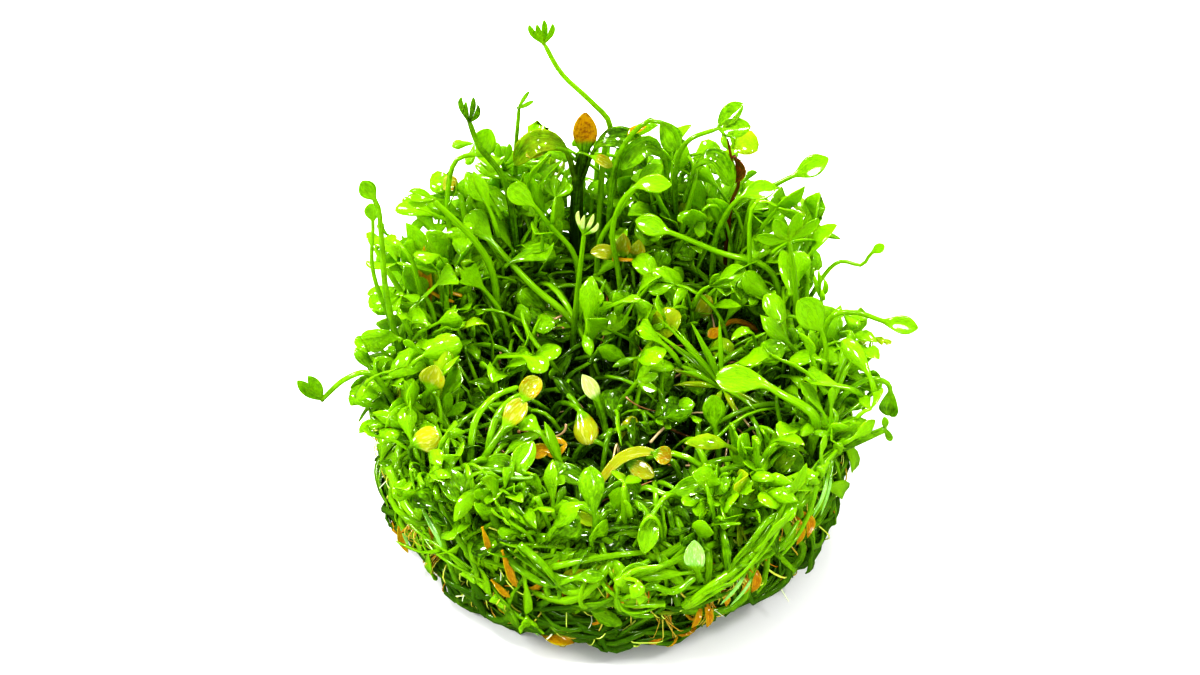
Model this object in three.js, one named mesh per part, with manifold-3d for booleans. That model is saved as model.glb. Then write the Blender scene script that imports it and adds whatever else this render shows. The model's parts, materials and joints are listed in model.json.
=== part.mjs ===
// Dwarf water clover, a tissue-cultured clump turned out of its cup: a knitted puck of runners and
// roots, young plantlets growing on it, and the fronds that stand clear of them.
// Millimetres, +Z up. The origin is the middle of the flat underside and -Y is the low, front side.

import * as THREE from "three";
import { mergeVertices } from "three/addons/utils/BufferGeometryUtils.js";
import Module from "manifold-3d";

const wasm = await Module();
wasm.setup();

// Driving dimensions of the puck
const MAT_RADIUS = 40;
const MAT_RIM_HEIGHT = 23;
const MAT_RIM_INSIDE = 31;
const MAT_FLOOR_RADIUS = 27.5;
const MAT_FLOOR_HEIGHT = 16;
const FOOTPRINT_RADIUS = 35;
const PRESSED_STRANDS = 6;

// Driving dimensions of the plantlets, whose leaves stand highest at the back
const RIM_PLANTLETS = 10;
const INNER_PLANTLETS = 4;
const RIM_DISTANCE = 37;
const INNER_DISTANCE = 17;
const CANOPY_HEIGHT = 41;
const CANOPY_SLOPE = 9;
const CUSHION_SQUARENESS = 3;
const SHORT_FRONDS = 5;

// Driving dimensions of a frond
const STALK_RADIUS = 0.6;
const RUNNER_RADIUS = 0.95;
const BLADE_THICKNESS = 0.7;
const BLADE_TIP = 0.6;
const LEAF_FACE = [0, -0.6, 0.8];
const FOOT_DEPTH = 2.8;

// Pieces that touch keep this gap
const GAP = 0.32;

// Colours of the growth, from fresh to dead
const COLOURS = {
  fresh: 0x7fdc0a,
  deep: 0x2f8f0c,
  mat: 0x2c6d0d,
  runner: 0x86d81a,
  pale: 0xd8e07a,
  yellow: 0xd9d21e,
  withered: 0xc9761a,
};

const TAU = Math.PI * 2;
const { degToRad, radToDeg, smoothstep, lerp, clamp, euclideanModulo } = THREE.MathUtils;
const vector = (p) => new THREE.Vector3(...p);

// A point given by its bearing in degrees (0 is +X, 90 the back), its distance from the axis and height
function polar(bearing, distance, height) {
  const a = degToRad(bearing);
  return new THREE.Vector3(distance * Math.cos(a), distance * Math.sin(a), height);
}

// Degrees from one bearing to another, between -180 and 180
function turnBetween(from, to) {
  return euclideanModulo(to - from + 180, 360) - 180;
}

// A repeatable stream of numbers from 0 to 1
function randomStream(seed) {
  let state = seed;
  return () => {
    state = (state * 16807) % 2147483647;
    return state / 2147483647;
  };
}

// A closed geometry as a solid that can be joined and cut
function solidOf(geometry) {
  const bare = geometry.clone();
  bare.deleteAttribute("normal");
  bare.deleteAttribute("uv");
  const merged = mergeVertices(bare, 1e-4);
  return new wasm.Manifold(
    new wasm.Mesh({
      numProp: 3,
      vertProperties: merged.attributes.position.array,
      triVerts: new Uint32Array(merged.index.array),
    }),
  );
}

// The largest body of a solid as a flat-shaded geometry
function geometryOf(solid) {
  const bodies = solid.decompose().sort((a, b) => b.volume() - a.volume());
  const mesh = bodies[0].getMesh();
  const geometry = new THREE.BufferGeometry()
    .setAttribute("position", new THREE.BufferAttribute(mesh.vertProperties, 3))
    .setIndex(new THREE.BufferAttribute(mesh.triVerts, 1))
    .toNonIndexed();
  geometry.computeVertexNormals();
  return geometry;
}

function joined(solids) {
  return solids.reduce((sum, solid) => sum.add(solid));
}

// Moves each vertex of a geometry to where the function puts it
function reshaped(geometry, move) {
  const position = geometry.getAttribute("position");
  for (let i = 0; i < position.count; i += 1) {
    const moved = move(position.getX(i), position.getY(i), position.getZ(i));
    position.setXYZ(i, moved.x, moved.y, moved.z);
  }
  return geometry;
}

// Half the width of a blade, as a share of its widest, from its base at 0 to its tip at 1
function bladeOutline(q) {
  return Math.max(0, Math.sin(Math.PI * q ** 0.9)) ** 0.7;
}

// One grown limb: a stalk along the route whose last stretch widens into a flat blade if it has
// blade rows. The blade turns its broad side to face. Swell grows the limb on all sides.
function limb(spec) {
  const { route, radius, width = 0, steps = 1, bladeRows = 0, sides = 4, face = LEAF_FACE, swell = 0 } = spec;
  const curve = new THREE.CatmullRomCurve3(route.map(vector), false, "centripetal");
  const stretches = route.length - 1;
  const bare = bladeRows ? stretches - 1 : stretches;
  const stalkRows = steps * bare;
  const bladeStart = bare / stretches;
  const count = stalkRows + bladeRows;
  const rows = Array.from({ length: count + 1 }, (_, row) => {
    const q = Math.max(0, (row - stalkRows) / Math.max(1, bladeRows));
    const t = row <= stalkRows ? (bladeStart * row) / stalkRows : lerp(bladeStart, 1, q);
    return { q, t, point: curve.getPoint(t), tangent: curve.getTangent(t) };
  });
  rows[count].across = new THREE.Vector3().crossVectors(vector(face), rows[count].tangent).normalize();
  for (let row = count - 1; row >= 0; row -= 1) {
    const { across } = rows[row + 1];
    const { tangent } = rows[row];
    rows[row].across = across.clone().addScaledVector(tangent, -across.dot(tangent)).normalize();
  }
  rows[0].point.addScaledVector(rows[0].tangent, -swell);
  rows[count].point.addScaledVector(rows[count].tangent, swell);
  const tube = reshaped(new THREE.CylinderGeometry(1, 1, count, sides, count), (x, y, z) => {
    const { q, t, point, tangent, across } = rows[Math.round(y + count / 2)];
    const round = radius * lerp(1.15, 0.8, Math.min(1, t / bladeStart));
    const halfWidth = q > 0 ? Math.max(BLADE_TIP / 2, (width / 2) * bladeOutline(q)) : round;
    const halfThickness = lerp(round, BLADE_THICKNESS / 2, smoothstep(q, 0, 0.3));
    const normal = new THREE.Vector3().crossVectors(across, tangent);
    return point
      .clone()
      .addScaledVector(across, x * (halfWidth + swell))
      .addScaledVector(normal, z * (halfThickness + swell));
  });
  return solidOf(tube);
}

// A clover leaf: narrow leaflets spread from the end of the stalk, as one flat blade that turns to face
function cloverLeaf({ base, tip, leaflets, spread, face = LEAF_FACE, swell = 0 }) {
  const length = vector(base).distanceTo(vector(tip));
  const step = degToRad(spread) / (leaflets - 1);
  const notch = swell ? 0.7 : 0.4;
  const at = (turns, reach) => {
    const angle = (turns - (leaflets - 1) / 2) * step;
    const far = reach * length + swell;
    return new THREE.Vector2(far * Math.sin(angle), far * Math.cos(angle));
  };
  const points = [new THREE.Vector2(0, -STALK_RADIUS - swell)];
  for (let i = 0; i < leaflets; i += 1) {
    if (i) points.push(at(i - 0.5, notch));
    points.push(at(i - 0.38, 0.7), at(i, 1), at(i + 0.38, 0.7));
  }
  const depth = BLADE_THICKNESS + 2 * swell;
  const blade = new THREE.ExtrudeGeometry(new THREE.Shape(points), { depth, bevelEnabled: false });
  const along = vector(tip).sub(vector(base)).normalize();
  const across = new THREE.Vector3().crossVectors(along, vector(face)).normalize();
  const normal = new THREE.Vector3().crossVectors(across, along);
  const frame = new THREE.Matrix4().makeBasis(across, along, normal).setPosition(vector(base));
  return solidOf(blade.translate(0, 0, -depth / 2).applyMatrix4(frame));
}

// The fronds that stand clear of the clump. A stalk runs from its foot, given by x and y alone, to the
// base of its leaf, and tip is the tip of the leaf.
const FRONDS = {
  frond_tall_curved: {
    stalk: [[-3, 33], [-1.5, 36, 50], [-0.5, 36, 57], [-4, 36, 62], [-9, 36, 68], [-12, 36, 74.5]],
    tip: [-12.5, 35.5, 79.5], leaflets: 4, spread: 75,
  },
  frond_back_left_claw: {
    stalk: [[-17, 32], [-19.5, 30, 49], [-23.5, 30, 56], [-25, 30, 61.5]],
    tip: [-24.5, 29.5, 66.5], leaflets: 4, spread: 60,
  },
  frond_back_slim: {
    stalk: [[-17.5, 35.5], [-17.5, 34, 48], [-16.5, 34, 62]],
    tip: [-14, 33.5, 65], leaflets: 2, spread: 32,
  },
  frond_back_left_round: {
    stalk: [[-29.5, 25], [-29.5, 27, 48], [-27.5, 28, 55.5], [-23.5, 28, 57]],
    tip: [-21.5, 28, 62], width: 4.4,
  },
  frond_back_arched: {
    stalk: [[-1, 30.5], [0.5, 29.5, 52], [3.5, 28.5, 60.5], [7.5, 28, 64]],
    tip: [11.3, 27.5, 57.5], width: 4.4,
  },
  frond_back_right_high: {
    stalk: [[13, 34], [11.5, 31.5, 51], [13.5, 31, 57], [18.5, 30.5, 60]],
    tip: [24, 30, 63.5], leaflets: 2, spread: 40,
  },
  frond_back_right_spoon: {
    stalk: [[18.5, 25.5], [19, 25, 41], [23, 24.5, 49.5]],
    tip: [29, 24, 52], width: 4.2,
  },
  frond_right_far_spoon: {
    stalk: [[24.5, 28], [25.5, 27, 47], [29.5, 27, 50.5], [33.5, 26.5, 53.5]],
    tip: [38, 26, 57], width: 4.4,
  },
  frond_right_fan: {
    stalk: [[33.5, 12.5], [32, 12, 41], [30.5, 12, 50]],
    tip: [29.5, 11.5, 56.5], leaflets: 4, spread: 115,
  },
  frond_right_long: {
    stalk: [[34, 20], [28.5, 21, 35], [19, 21, 39.5], [12.5, 21, 43]],
    tip: [4, 21, 47], width: 5, radius: 0.65,
  },
  frond_centre_arch: {
    stalk: [[3, 20], [1.2, 23.5, 32], [0, 24, 42], [2, 24, 49.5], [4.8, 24, 52.5]],
    tip: [10.5, 23.5, 53], width: 4.6,
  },
  frond_centre_twin: {
    stalk: [[-2.5, 27], [-2.2, 28, 36], [1.2, 28, 43], [4, 28.5, 48]],
    tip: [9, 28.5, 53.5], width: 4.6,
  },
  frond_back_left_bright: {
    stalk: [[-6.5, 24.5], [-6.8, 26, 34], [-11.6, 26, 42], [-14, 26, 46]],
    tip: [-18.5, 26, 50.5], width: 5,
  },
  frond_left_long: {
    stalk: [[-3, 12], [-6, 16.5, 24], [-14.5, 22.5, 32], [-23, 28.5, 38]],
    tip: [-28, 32, 42.5], width: 5.2, radius: 0.75,
  },
  frond_left_folded: {
    stalk: [[-21, 18], [-21.5, 20, 35], [-24.5, 20, 43], [-31.5, 20, 52.5]],
    tip: [-37.5, 20, 53.5], width: 4.6, radius: 0.75,
  },
  frond_pale_bud: {
    stalk: [[-7.5, 14], [-6.8, 15, 28], [-5, 15, 49]],
    tip: [-4, 14.5, 54], leaflets: 4, spread: 70, colour: "pale",
  },
  frond_left_tall: {
    stalk: [[-37, 3.5], [-39, 4, 45], [-39, 4, 59], [-39.2, 4, 64.5]],
    tip: [-41.5, 3.5, 70], width: 3,
  },
  frond_left_slim: {
    stalk: [[-38.5, 8], [-41.3, 7, 47], [-40.6, 7, 58]],
    tip: [-40.6, 7, 62.5], width: 2.6, radius: 0.45,
  },
  frond_left_outlier: {
    stalk: [[-39, -5.5], [-42, -6, 35.5], [-46, -6, 34], [-50.5, -6, 29]],
    tip: [-53.5, -6.5, 35], leaflets: 2, spread: 40,
  },
  frond_left_spoon: {
    stalk: [[-31.5, 11], [-32.3, 14.5, 31], [-33.7, 16, 34]],
    tip: [-36.5, 17.5, 40], width: 5,
  },
  frond_left_toothed: {
    stalk: [[-18, 16], [-20, 17.7, 27], [-23, 18, 33]],
    tip: [-27, 17.5, 39], width: 4.8,
  },
  frond_yellow_cup: {
    stalk: [[-32.8, -6], [-32.5, -5.7, 33], [-31.8, -5.3, 35]],
    tip: [-30, -4, 40], width: 4.8, colour: "yellow",
  },
  frond_left_lobed: {
    stalk: [[-28, -12.5], [-29, -10, 24], [-29, -9, 28]],
    tip: [-28, -7.5, 32.5], leaflets: 3, spread: 80,
  },
  frond_yellow_round: {
    stalk: [[-34, -20], [-34, -20.4, 33], [-33.4, -20.4, 35]],
    tip: [-29.5, -20.4, 37], width: 4.8, colour: "yellow",
  },
  frond_double_yellow: {
    stalk: [[-23.5, -20.5], [-22.8, -19.5, 26], [-17.5, -15, 33]],
    tip: [-12.5, -10, 37.5], width: 4.4, radius: 0.75, colour: "yellow",
  },
  frond_pale_front: {
    stalk: [[0, -12], [-1.5, -7, 25], [-2.4, -6, 28]],
    tip: [-5.3, -3.8, 33], width: 3.6, colour: "pale",
  },
  frond_yellow_bud: {
    stalk: [[-12, -1], [-9.5, -3, 25], [-5.8, -7.8, 28]],
    tip: [-4, -13.5, 25.5], width: 4.4, colour: "yellow",
  },
  frond_three_leaflet: {
    stalk: [[1.5, -1], [1.3, -2.5, 24], [4.4, -3.6, 31.2]],
    tip: [8, -4.6, 33.5], leaflets: 3, spread: 70,
  },
  frond_yellow_curved: {
    stalk: [[-4.5, -23.5], [-3, -23, 24], [1, -20.5, 29], [4.3, -19.6, 30]],
    tip: [9.5, -20, 29.5], width: 4, radius: 0.75, colour: "yellow",
  },
  frond_big_right: {
    stalk: [[36, -16], [34, -15, 34], [28.8, -12, 36], [25, -9, 36]],
    tip: [17.5, -7.8, 36], width: 5.4, radius: 0.8,
  },
  frond_right_small_spoon: {
    stalk: [[18.8, -14], [18, -12, 25], [17.5, -10.5, 28]],
    tip: [17.3, -8.5, 32.7], width: 4,
  },
  frond_right_yellow_round: {
    stalk: [[13.6, 14.4], [14.2, 15, 25], [15.2, 16, 28.5]],
    tip: [17.5, 16, 33.5], width: 4.2, colour: "yellow",
  },
  frond_right_paddle: {
    stalk: [[36.5, 3.5], [38, 2.5, 41], [42, 2, 42.2], [46.7, 2, 40.2]],
    tip: [53, 2, 38.5], width: 3.8,
  },
  frond_right_curl: {
    stalk: [[37, 20], [40.5, 20, 38], [44.8, 20, 37.3], [46.2, 20, 40]],
    tip: [48.5, 20, 42], width: 1.8, radius: 0.45,
  },
  frond_right_hook: {
    stalk: [[37.5, -8], [40.4, -8, 33], [44, -8, 36], [47, -8, 34.9], [47.8, -8, 32]],
    tip: [48, -8, 27], width: 3.4, face: [0.3, -1, 0.3],
  },
  frond_right_low: {
    stalk: [[38.5, -16], [40.5, -16.3, 29], [45, -16, 31.4]],
    tip: [47, -15.8, 33.6], leaflets: 2, spread: 110,
  },
  frond_right_upright: {
    stalk: [[36.5, -3], [36.8, -2, 36], [36, -1, 40]],
    tip: [31.5, -1, 48], width: 5.6,
  },
};

// Dead growth that still stands among the fronds
const WITHERED = {
  withered_leaf_back: {
    stalk: [[-6.5, 34.5], [-6.3, 34.5, 44], [-5, 34, 53]],
    tip: [-4.8, 34, 61], width: 4.2,
  },
  withered_stalk_back: {
    stalk: [[22.5, 32], [21.7, 29.5, 49], [20.2, 29, 59]],
    radius: 0.5,
  },
  withered_leaf_right: {
    stalk: [[28, 17], [26.5, 17.3, 24], [22, 16.3, 27]],
    tip: [17.2, 11.5, 27.5], width: 2,
  },
  withered_cup_front: {
    stalk: [[-16, -16.5], [-13.7, -16.2, 25.5]],
    tip: [-7.8, -15.8, 28], width: 4,
  },
};

// Creeping stems that lie over the rim and down the side of the puck
const RUNNERS = {
  runner_front_right: [
    [10, -41, 13.5], [19.5, -37.5, 19], [28, -33, 26.5], [35, -26, 29.5], [40.5, -17, 31],
  ],
  runner_front_loop: [
    [8.5, -41.6, 17.2], [1.5, -42.6, 17.5], [0.9, -43.6, 24], [4, -43.4, 27.2], [8, -42.5, 27.5],
  ],
  runner_left: [
    [-38, -18, 25], [-35, -24.2, 21.5], [-27.5, -32.4, 18], [-19, -38.4, 13], [-11.5, -41, 8.5],
  ],
};

// A tuft of thin spiky young leaves at the right of the dish, all from one short stem
const SPIKY_TUFT = {
  foot: [19, 0],
  top: [19, 1, 28],
  spikes: [
    [11, 6, 33.5], [14.7, 5.5, 37], [19.5, 6.5, 38.5], [23.5, -10, 28], [29.5, -7.5, 28.5], [13, -2, 29],
  ],
  radius: 0.9,
};

// Height of the puck's top at a distance from the axis: a raised rim round a lower floor
function topHeight(distance) {
  return lerp(MAT_FLOOR_HEIGHT, MAT_RIM_HEIGHT, smoothstep(distance, MAT_FLOOR_RADIUS, MAT_RIM_INSIDE));
}

// Radius of the puck's side at a height, rounded in below where it stood on the floor of the cup
function sideRadius(height) {
  return lerp(FOOTPRINT_RADIUS, MAT_RADIUS, Math.sqrt(smoothstep(height, 0, 9)));
}

// How far the low edge of the puck is eaten away at a bearing: two notches beside the front, and less
// on its right and left
function eatenAway(bearing) {
  const bite = (centre, halfArc, depth) =>
    depth * (1 - smoothstep(Math.abs(turnBetween(centre, bearing)), 0, halfArc));
  return bite(211, 14, 4.5) + bite(302, 14, 5) + bite(345, 40, 2.5) + bite(170, 40, 2);
}

// The puck without its pressed strands
function matBody() {
  const top = [MAT_RADIUS - 2, MAT_RIM_INSIDE, MAT_FLOOR_RADIUS, 0];
  const profile = [
    [0, 0],
    [FOOTPRINT_RADIUS, 0],
    ...[3, 8, 13, 18, 21.5].map((height) => [sideRadius(height), height]),
    ...top.map((distance) => [distance, topHeight(distance)]),
  ];
  const outline = profile.map(([x, y]) => new THREE.Vector2(x, y));
  const lathed = new THREE.LatheGeometry(outline, 34).rotateX(Math.PI / 2);
  const puck = reshaped(lathed, (x, y, z) => {
    const distance = Math.hypot(x, y);
    const a = Math.atan2(y, x);
    const onSide = smoothstep(distance, MAT_RIM_INSIDE, FOOTPRINT_RADIUS);
    const ridges = onSide * (0.8 * Math.sin(5 * a + 0.5 * z) + 0.6 * Math.sin(9 * a - 0.8 * z));
    const bite = onSide * eatenAway(radToDeg(a)) * (1 - smoothstep(z, 3, 10));
    return new THREE.Vector3(x, y, 0).setLength(distance && distance + ridges - bite).setZ(z);
  });
  return solidOf(puck);
}

// Stems pressed against the side of the puck by the cup it grew in, fused to it
function pressedStrand(k) {
  const random = randomStream(71 + k);
  const start = (360 / PRESSED_STRANDS) * k + 20 * random();
  const span = 42 + 16 * random();
  const low = 6 + 11 * random();
  const rise = 8 * (random() - 0.5);
  const route = [0, 0.35, 0.7, 1].map((share) => {
    const height = clamp(low + rise * share + Math.sin(5 * share + k), 4, 19);
    return polar(start + span * share, sideRadius(height) + 1, height).toArray();
  });
  return limb({ route, radius: 1.4 });
}

function rootMat() {
  return joined([matBody(), ...Array.from({ length: PRESSED_STRANDS }, (_, k) => pressedStrand(k))]);
}

// Height of the leaves round the rim at a bearing: low at the front and high at the back
function canopyHeight(bearing) {
  return CANOPY_HEIGHT + CANOPY_SLOPE * Math.sin(degToRad(bearing));
}

// The leafy cushion of each plantlet. halfArc is in degrees and the other sizes are in millimetres.
const cushions = [];
for (let k = 0; k < RIM_PLANTLETS; k += 1) {
  const arc = 360 / RIM_PLANTLETS;
  const top = canopyHeight(arc * k);
  cushions.push({
    name: `plantlet_rim_${k + 1}`,
    colour: "fresh",
    bearing: arc * k,
    halfArc: arc / 2 - radToDeg(GAP / 2 / 30),
    distance: RIM_DISTANCE,
    depth: 6,
    height: MAT_RIM_HEIGHT + GAP,
    rise: 0.6 * (top - MAT_RIM_HEIGHT),
    leafTops: [lerp(MAT_RIM_HEIGHT, top, 0.75), top],
  });
}
for (let k = 0; k < INNER_PLANTLETS; k += 1) {
  const arc = 360 / INNER_PLANTLETS;
  cushions.push({
    name: `plantlet_inner_${k + 1}`,
    colour: "deep",
    bearing: arc * (k + 0.5),
    halfArc: arc / 2 - 3,
    distance: INNER_DISTANCE,
    depth: 9.5,
    height: MAT_FLOOR_HEIGHT + GAP,
    rise: 6,
    leafTops: [24, 30],
  });
}

// Height of a cushion's top over a point, or nothing where the cushion doesn't reach
function cushionTop({ bearing, halfArc, distance, depth, height, rise }, x, y) {
  const u = Math.abs(turnBetween(bearing, radToDeg(Math.atan2(y, x)))) / halfArc;
  const v = Math.abs(Math.hypot(x, y) - distance) / depth;
  const out = (u ** CUSHION_SQUARENESS + v ** CUSHION_SQUARENESS) ** (1 / CUSHION_SQUARENESS);
  return out < 1 ? height + rise * Math.sqrt(1 - out * out) : 0;
}

// Height of what a frond at a point grows from
function groundHeight(x, y) {
  return Math.max(topHeight(Math.hypot(x, y)), ...cushions.map((cushion) => cushionTop(cushion, x, y)));
}

// A stalk's points, with its foot set below the surface that it grows from
function rooted([[x, y], ...rest]) {
  return [[x, y, groundHeight(x, y) - FOOT_DEPTH], ...rest];
}

// A cushion is a dome on a flat base whose outline is squarer than an ellipse
function cushionBody({ bearing, halfArc, distance, depth, height, rise }) {
  const profile = [new THREE.Vector2(0, 0)];
  for (const angle of [0, 30, 60, 90]) {
    profile.push(new THREE.Vector2(Math.cos(degToRad(angle)), Math.sin(degToRad(angle))));
  }
  const dome = new THREE.LatheGeometry(profile, 10).rotateX(Math.PI / 2);
  const body = reshaped(dome, (x, y, z) => {
    const out = Math.max(1e-6, Math.hypot(x, y));
    const squared = (c) => out * Math.sign(c) * Math.abs(c / out) ** (2 / CUSHION_SQUARENESS);
    return polar(bearing + halfArc * squared(y), distance + depth * squared(x), height + rise * z);
  });
  return solidOf(body);
}

// The short fronds of a plantlet, spread over its cushion and leaning out from it
function shortFronds({ bearing, halfArc, distance, depth, leafTops }) {
  const random = randomStream(300 + Math.round(bearing + distance));
  return Array.from({ length: SHORT_FRONDS }, (_, i) => {
    const turn = TAU * ((i + 0.5) / SHORT_FRONDS);
    const at = (share, height) => {
      const aside = halfArc * 0.66 * share * Math.cos(turn);
      const outward = depth * share * Math.sin(turn);
      return polar(bearing + aside, distance + outward, height);
    };
    const foot = at(0.5, 0);
    foot.z = groundHeight(foot.x, foot.y) - FOOT_DEPTH;
    const tip = at(1.2 * lerp(0.8, 1, random()), lerp(...leafTops, random()));
    const bend = foot.clone().lerp(tip, 0.4);
    bend.z += 0.12 * foot.distanceTo(tip);
    return limb({
      route: [foot.toArray(), bend.toArray(), tip.toArray()],
      radius: STALK_RADIUS,
      width: lerp(4.4, 5.6, random()),
      bladeRows: 3,
      face: polar(bearing, 0.5, 0.8).toArray(),
    });
  });
}

function plantlet(cushion) {
  return joined([cushionBody(cushion), ...shortFronds(cushion)]);
}

// A standing frond with a single blade, a clover leaf or a bare stalk, and with swell the room it needs
function frond(spec, swell = 0) {
  const { tip, leaflets, radius = STALK_RADIUS } = spec;
  const stalk = rooted(spec.stalk);
  if (!leaflets) {
    const route = tip ? [...stalk, tip] : stalk;
    return limb({ ...spec, route, radius, bladeRows: tip ? 4 : 0, swell });
  }
  const base = stalk[stalk.length - 1];
  return limb({ route: stalk, radius, swell }).add(cloverLeaf({ ...spec, base, swell }));
}

function runner(route, swell = 0) {
  return limb({ route, radius: RUNNER_RADIUS, sides: 6, steps: 2, swell });
}

function spikyTuft({ foot, top, spikes, radius }, swell = 0) {
  const stem = limb({ route: rooted([foot, top]), radius, swell });
  const leaves = spikes.map((tip) => {
    const bend = vector(top).lerp(vector(tip), 0.3).toArray();
    return limb({ route: [top, bend, tip], radius: 0.5, width: 1.2, bladeRows: 2, swell });
  });
  return joined([stem, ...leaves]);
}

// What stands free keeps its whole shape
const standing = [];
for (const [name, spec] of Object.entries(FRONDS)) {
  standing.push({ name, colour: spec.colour || "fresh", make: (swell) => frond(spec, swell) });
}
for (const [name, spec] of Object.entries(WITHERED)) {
  standing.push({ name, colour: "withered", make: (swell) => frond(spec, swell) });
}
for (const [name, route] of Object.entries(RUNNERS)) {
  standing.push({ name, colour: "runner", make: (swell) => runner(route, swell) });
}
standing.push({ name: "spiky_tuft", colour: "fresh", make: (swell) => spikyTuft(SPIKY_TUFT, swell) });

// What it grows from or lies on is cut back round it by the gap
const rooms = standing.map(({ make }) => make(GAP));
function cutBack(solid) {
  return rooms.reduce((rest, room) => (rest.intersect(room).isEmpty() ? rest : rest.subtract(room)), solid);
}

const clump = new THREE.Group();
function add(name, colour, solid) {
  const material = new THREE.MeshStandardMaterial({ color: COLOURS[colour], roughness: 0.4, metalness: 0 });
  const mesh = new THREE.Mesh(geometryOf(solid), material);
  mesh.name = name;
  clump.add(mesh);
}

add("root_mat", "mat", cutBack(rootMat()));
for (const cushion of cushions) add(cushion.name, cushion.colour, cutBack(plantlet(cushion)));
for (const { name, colour, make } of standing) add(name, colour, make(0));

export default clump;
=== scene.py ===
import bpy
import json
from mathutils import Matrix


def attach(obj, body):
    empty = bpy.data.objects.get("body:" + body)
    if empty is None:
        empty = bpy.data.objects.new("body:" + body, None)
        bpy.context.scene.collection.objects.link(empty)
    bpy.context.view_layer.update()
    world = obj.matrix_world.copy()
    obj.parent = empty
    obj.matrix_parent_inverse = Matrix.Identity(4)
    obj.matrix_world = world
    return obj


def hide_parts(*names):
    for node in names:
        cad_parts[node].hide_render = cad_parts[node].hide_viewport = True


bl_info = {
    "name": "Dwarf water clover clump",
    "version": (1, 0, 0),
    "blender": (4, 5, 0),
    "location": "3D View > Sidebar > Water clover",
    "description": "Grows a tissue-cultured clump of dwarf water clover, with its runners and roots",
    "category": "Add Mesh",
}

import functools
import json
import math

import bmesh
import bpy
import numpy as np
from bpy.props import FloatProperty, FloatVectorProperty, IntProperty, PointerProperty
from mathutils import Vector

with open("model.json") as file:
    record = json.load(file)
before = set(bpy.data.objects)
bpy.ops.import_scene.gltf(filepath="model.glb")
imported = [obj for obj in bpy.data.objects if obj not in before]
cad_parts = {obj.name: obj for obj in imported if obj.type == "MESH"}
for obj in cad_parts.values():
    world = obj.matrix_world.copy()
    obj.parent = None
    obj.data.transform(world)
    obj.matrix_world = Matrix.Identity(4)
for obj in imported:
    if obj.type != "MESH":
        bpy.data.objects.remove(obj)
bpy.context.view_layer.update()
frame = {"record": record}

# Shapes are worked out in millimetres, as in the part's source, and made meshes in metres
MM = 0.001

# Driving dimensions of the puck
MAT_RADIUS = 40
MAT_RIM_HEIGHT = 23
MAT_RIM_INSIDE = 31
MAT_FLOOR_RADIUS = 27.5
MAT_FLOOR_HEIGHT = 16
FOOTPRINT_RADIUS = 35
RIM_ROUNDING = 4

# The rings of plantlets: how many, how far turned as a share of one, distance from the axis and depth
CUSHIONS = dict(rim=(10, 0, 37, 6), inner=(4, 0.5, 17, 9.5))

# Height over which the side of the puck rounds in to its footprint
UNDERCUT_HEIGHT = 9

# Where the low edge of the puck is eaten away: bearing and half its arc in degrees, and depth
BITES = ((211, 14, 4.5), (302, 14, 5), (345, 40, 2.5), (170, 40, 2))

# Height of the leaves at the sides, and how much more it is at the back and less at the front
CANOPY_HEIGHT = 41
CANOPY_TILT = 9

# Half the thickness of a frond's stalk, and how much thicker it is at its foot
STALK_RADIUS = 0.6
FOOT_FLARE = 1.12

# Straight up
UP = np.array([0, 0, 1.0])

# A leaf turns its upper side this way unless it says otherwise
LEAF_FACE = (0, -0.6, 0.8)

# The way to the light at the front, which the standing fronds keep open
FRONT_LIGHT = (0, -0.73, 0.68)

# How far the way in front of a standing frond and of the spiky tuft is kept clear
CLEAR_WAY = 12
CLEAR_WAY_OF_TUFT = 14

# Farthest that short growth leans out from the axis
GROWTH_REACH = 46

# Length of a standing frond's blade for its width
BLADE_LENGTH = 1.5

# Level of each stalk's root in the puck, below its top, and how far in from its side the feet stay
ROOT_DEPTH = 0.8
FROND_INSET = 3.5
SHORT_FROND_INSET = 2.5

# Roots of each old bundle, and sprouts of each tiny tuft
BUNDLE_ROOTS = 9
TUFT_SPROUTS = 14

# Heights between which the colour of living growth goes from dark to fresh, by where it grows: the darkening
# lower down is painted shade, where shade falls in the clump, and the last range keeps growth fresh at any
# height
ON_RIM = (20, 42)
IN_DISH = (17, 36)
ON_WALL = (6, 26)
AT_BACK = (20, 60)
ALL_FRESH = (-20, 10)

# Colours of small parts: the weave of the puck, fresh roots and their white tips, and rust on a dead leaf
WEAVE = (0.11, 0.26, 0.0)
FRESH_ROOT = (0.62, 0.80, 0.12)
ROOT_TIP = (0.80, 0.88, 0.62)
RUST = (0.50, 0.26, 0.002)

# Share of the sky's light that gloss reflects, as behind a studio's dark flags
GLOSS_SKY = 0.1

# Half the side of the floor, and the camera's place and what it looks at, in metres
FLOOR_REACH = 3
EYE = (-0.00221, -0.28814, 0.30684)
AIM = (-0.00221, 0.01903, 0.02041)

# Each lamp's place and size in metres and its share of the main light's power, and what they all point at
LAMPS = (
    ("key", (-0.20, -0.10, 0.66), 0.15, 1),
    ("right", (0.35, -0.15, 0.55), 0.12, 0.45),
    ("left", (-0.48, -0.02, 0.34), 0.14, 0.6),
    ("back", (0.10, 0.50, 0.50), 0.2, 1.2),
    ("front", (0.05, -0.60, 0.45), 0.12, 0.2),
)
LAMP_AIM = (0, 0, 0.02)

# The slot of each CAD node, from the record
SLOTS = {row["node"]: row["material_slot"] for row in frame["record"]["subparts"]}


def laid(*route, **look):
    """A leaf or strap that lies along a route. Without a width it is a bare stem."""
    return dict(route=route, **look)


def thread(*route, width):
    """A strap as thin as a thread, which widens from its start on."""
    return laid(*route, width=width, start=0.05, long=30, radius=0.2)


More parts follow.
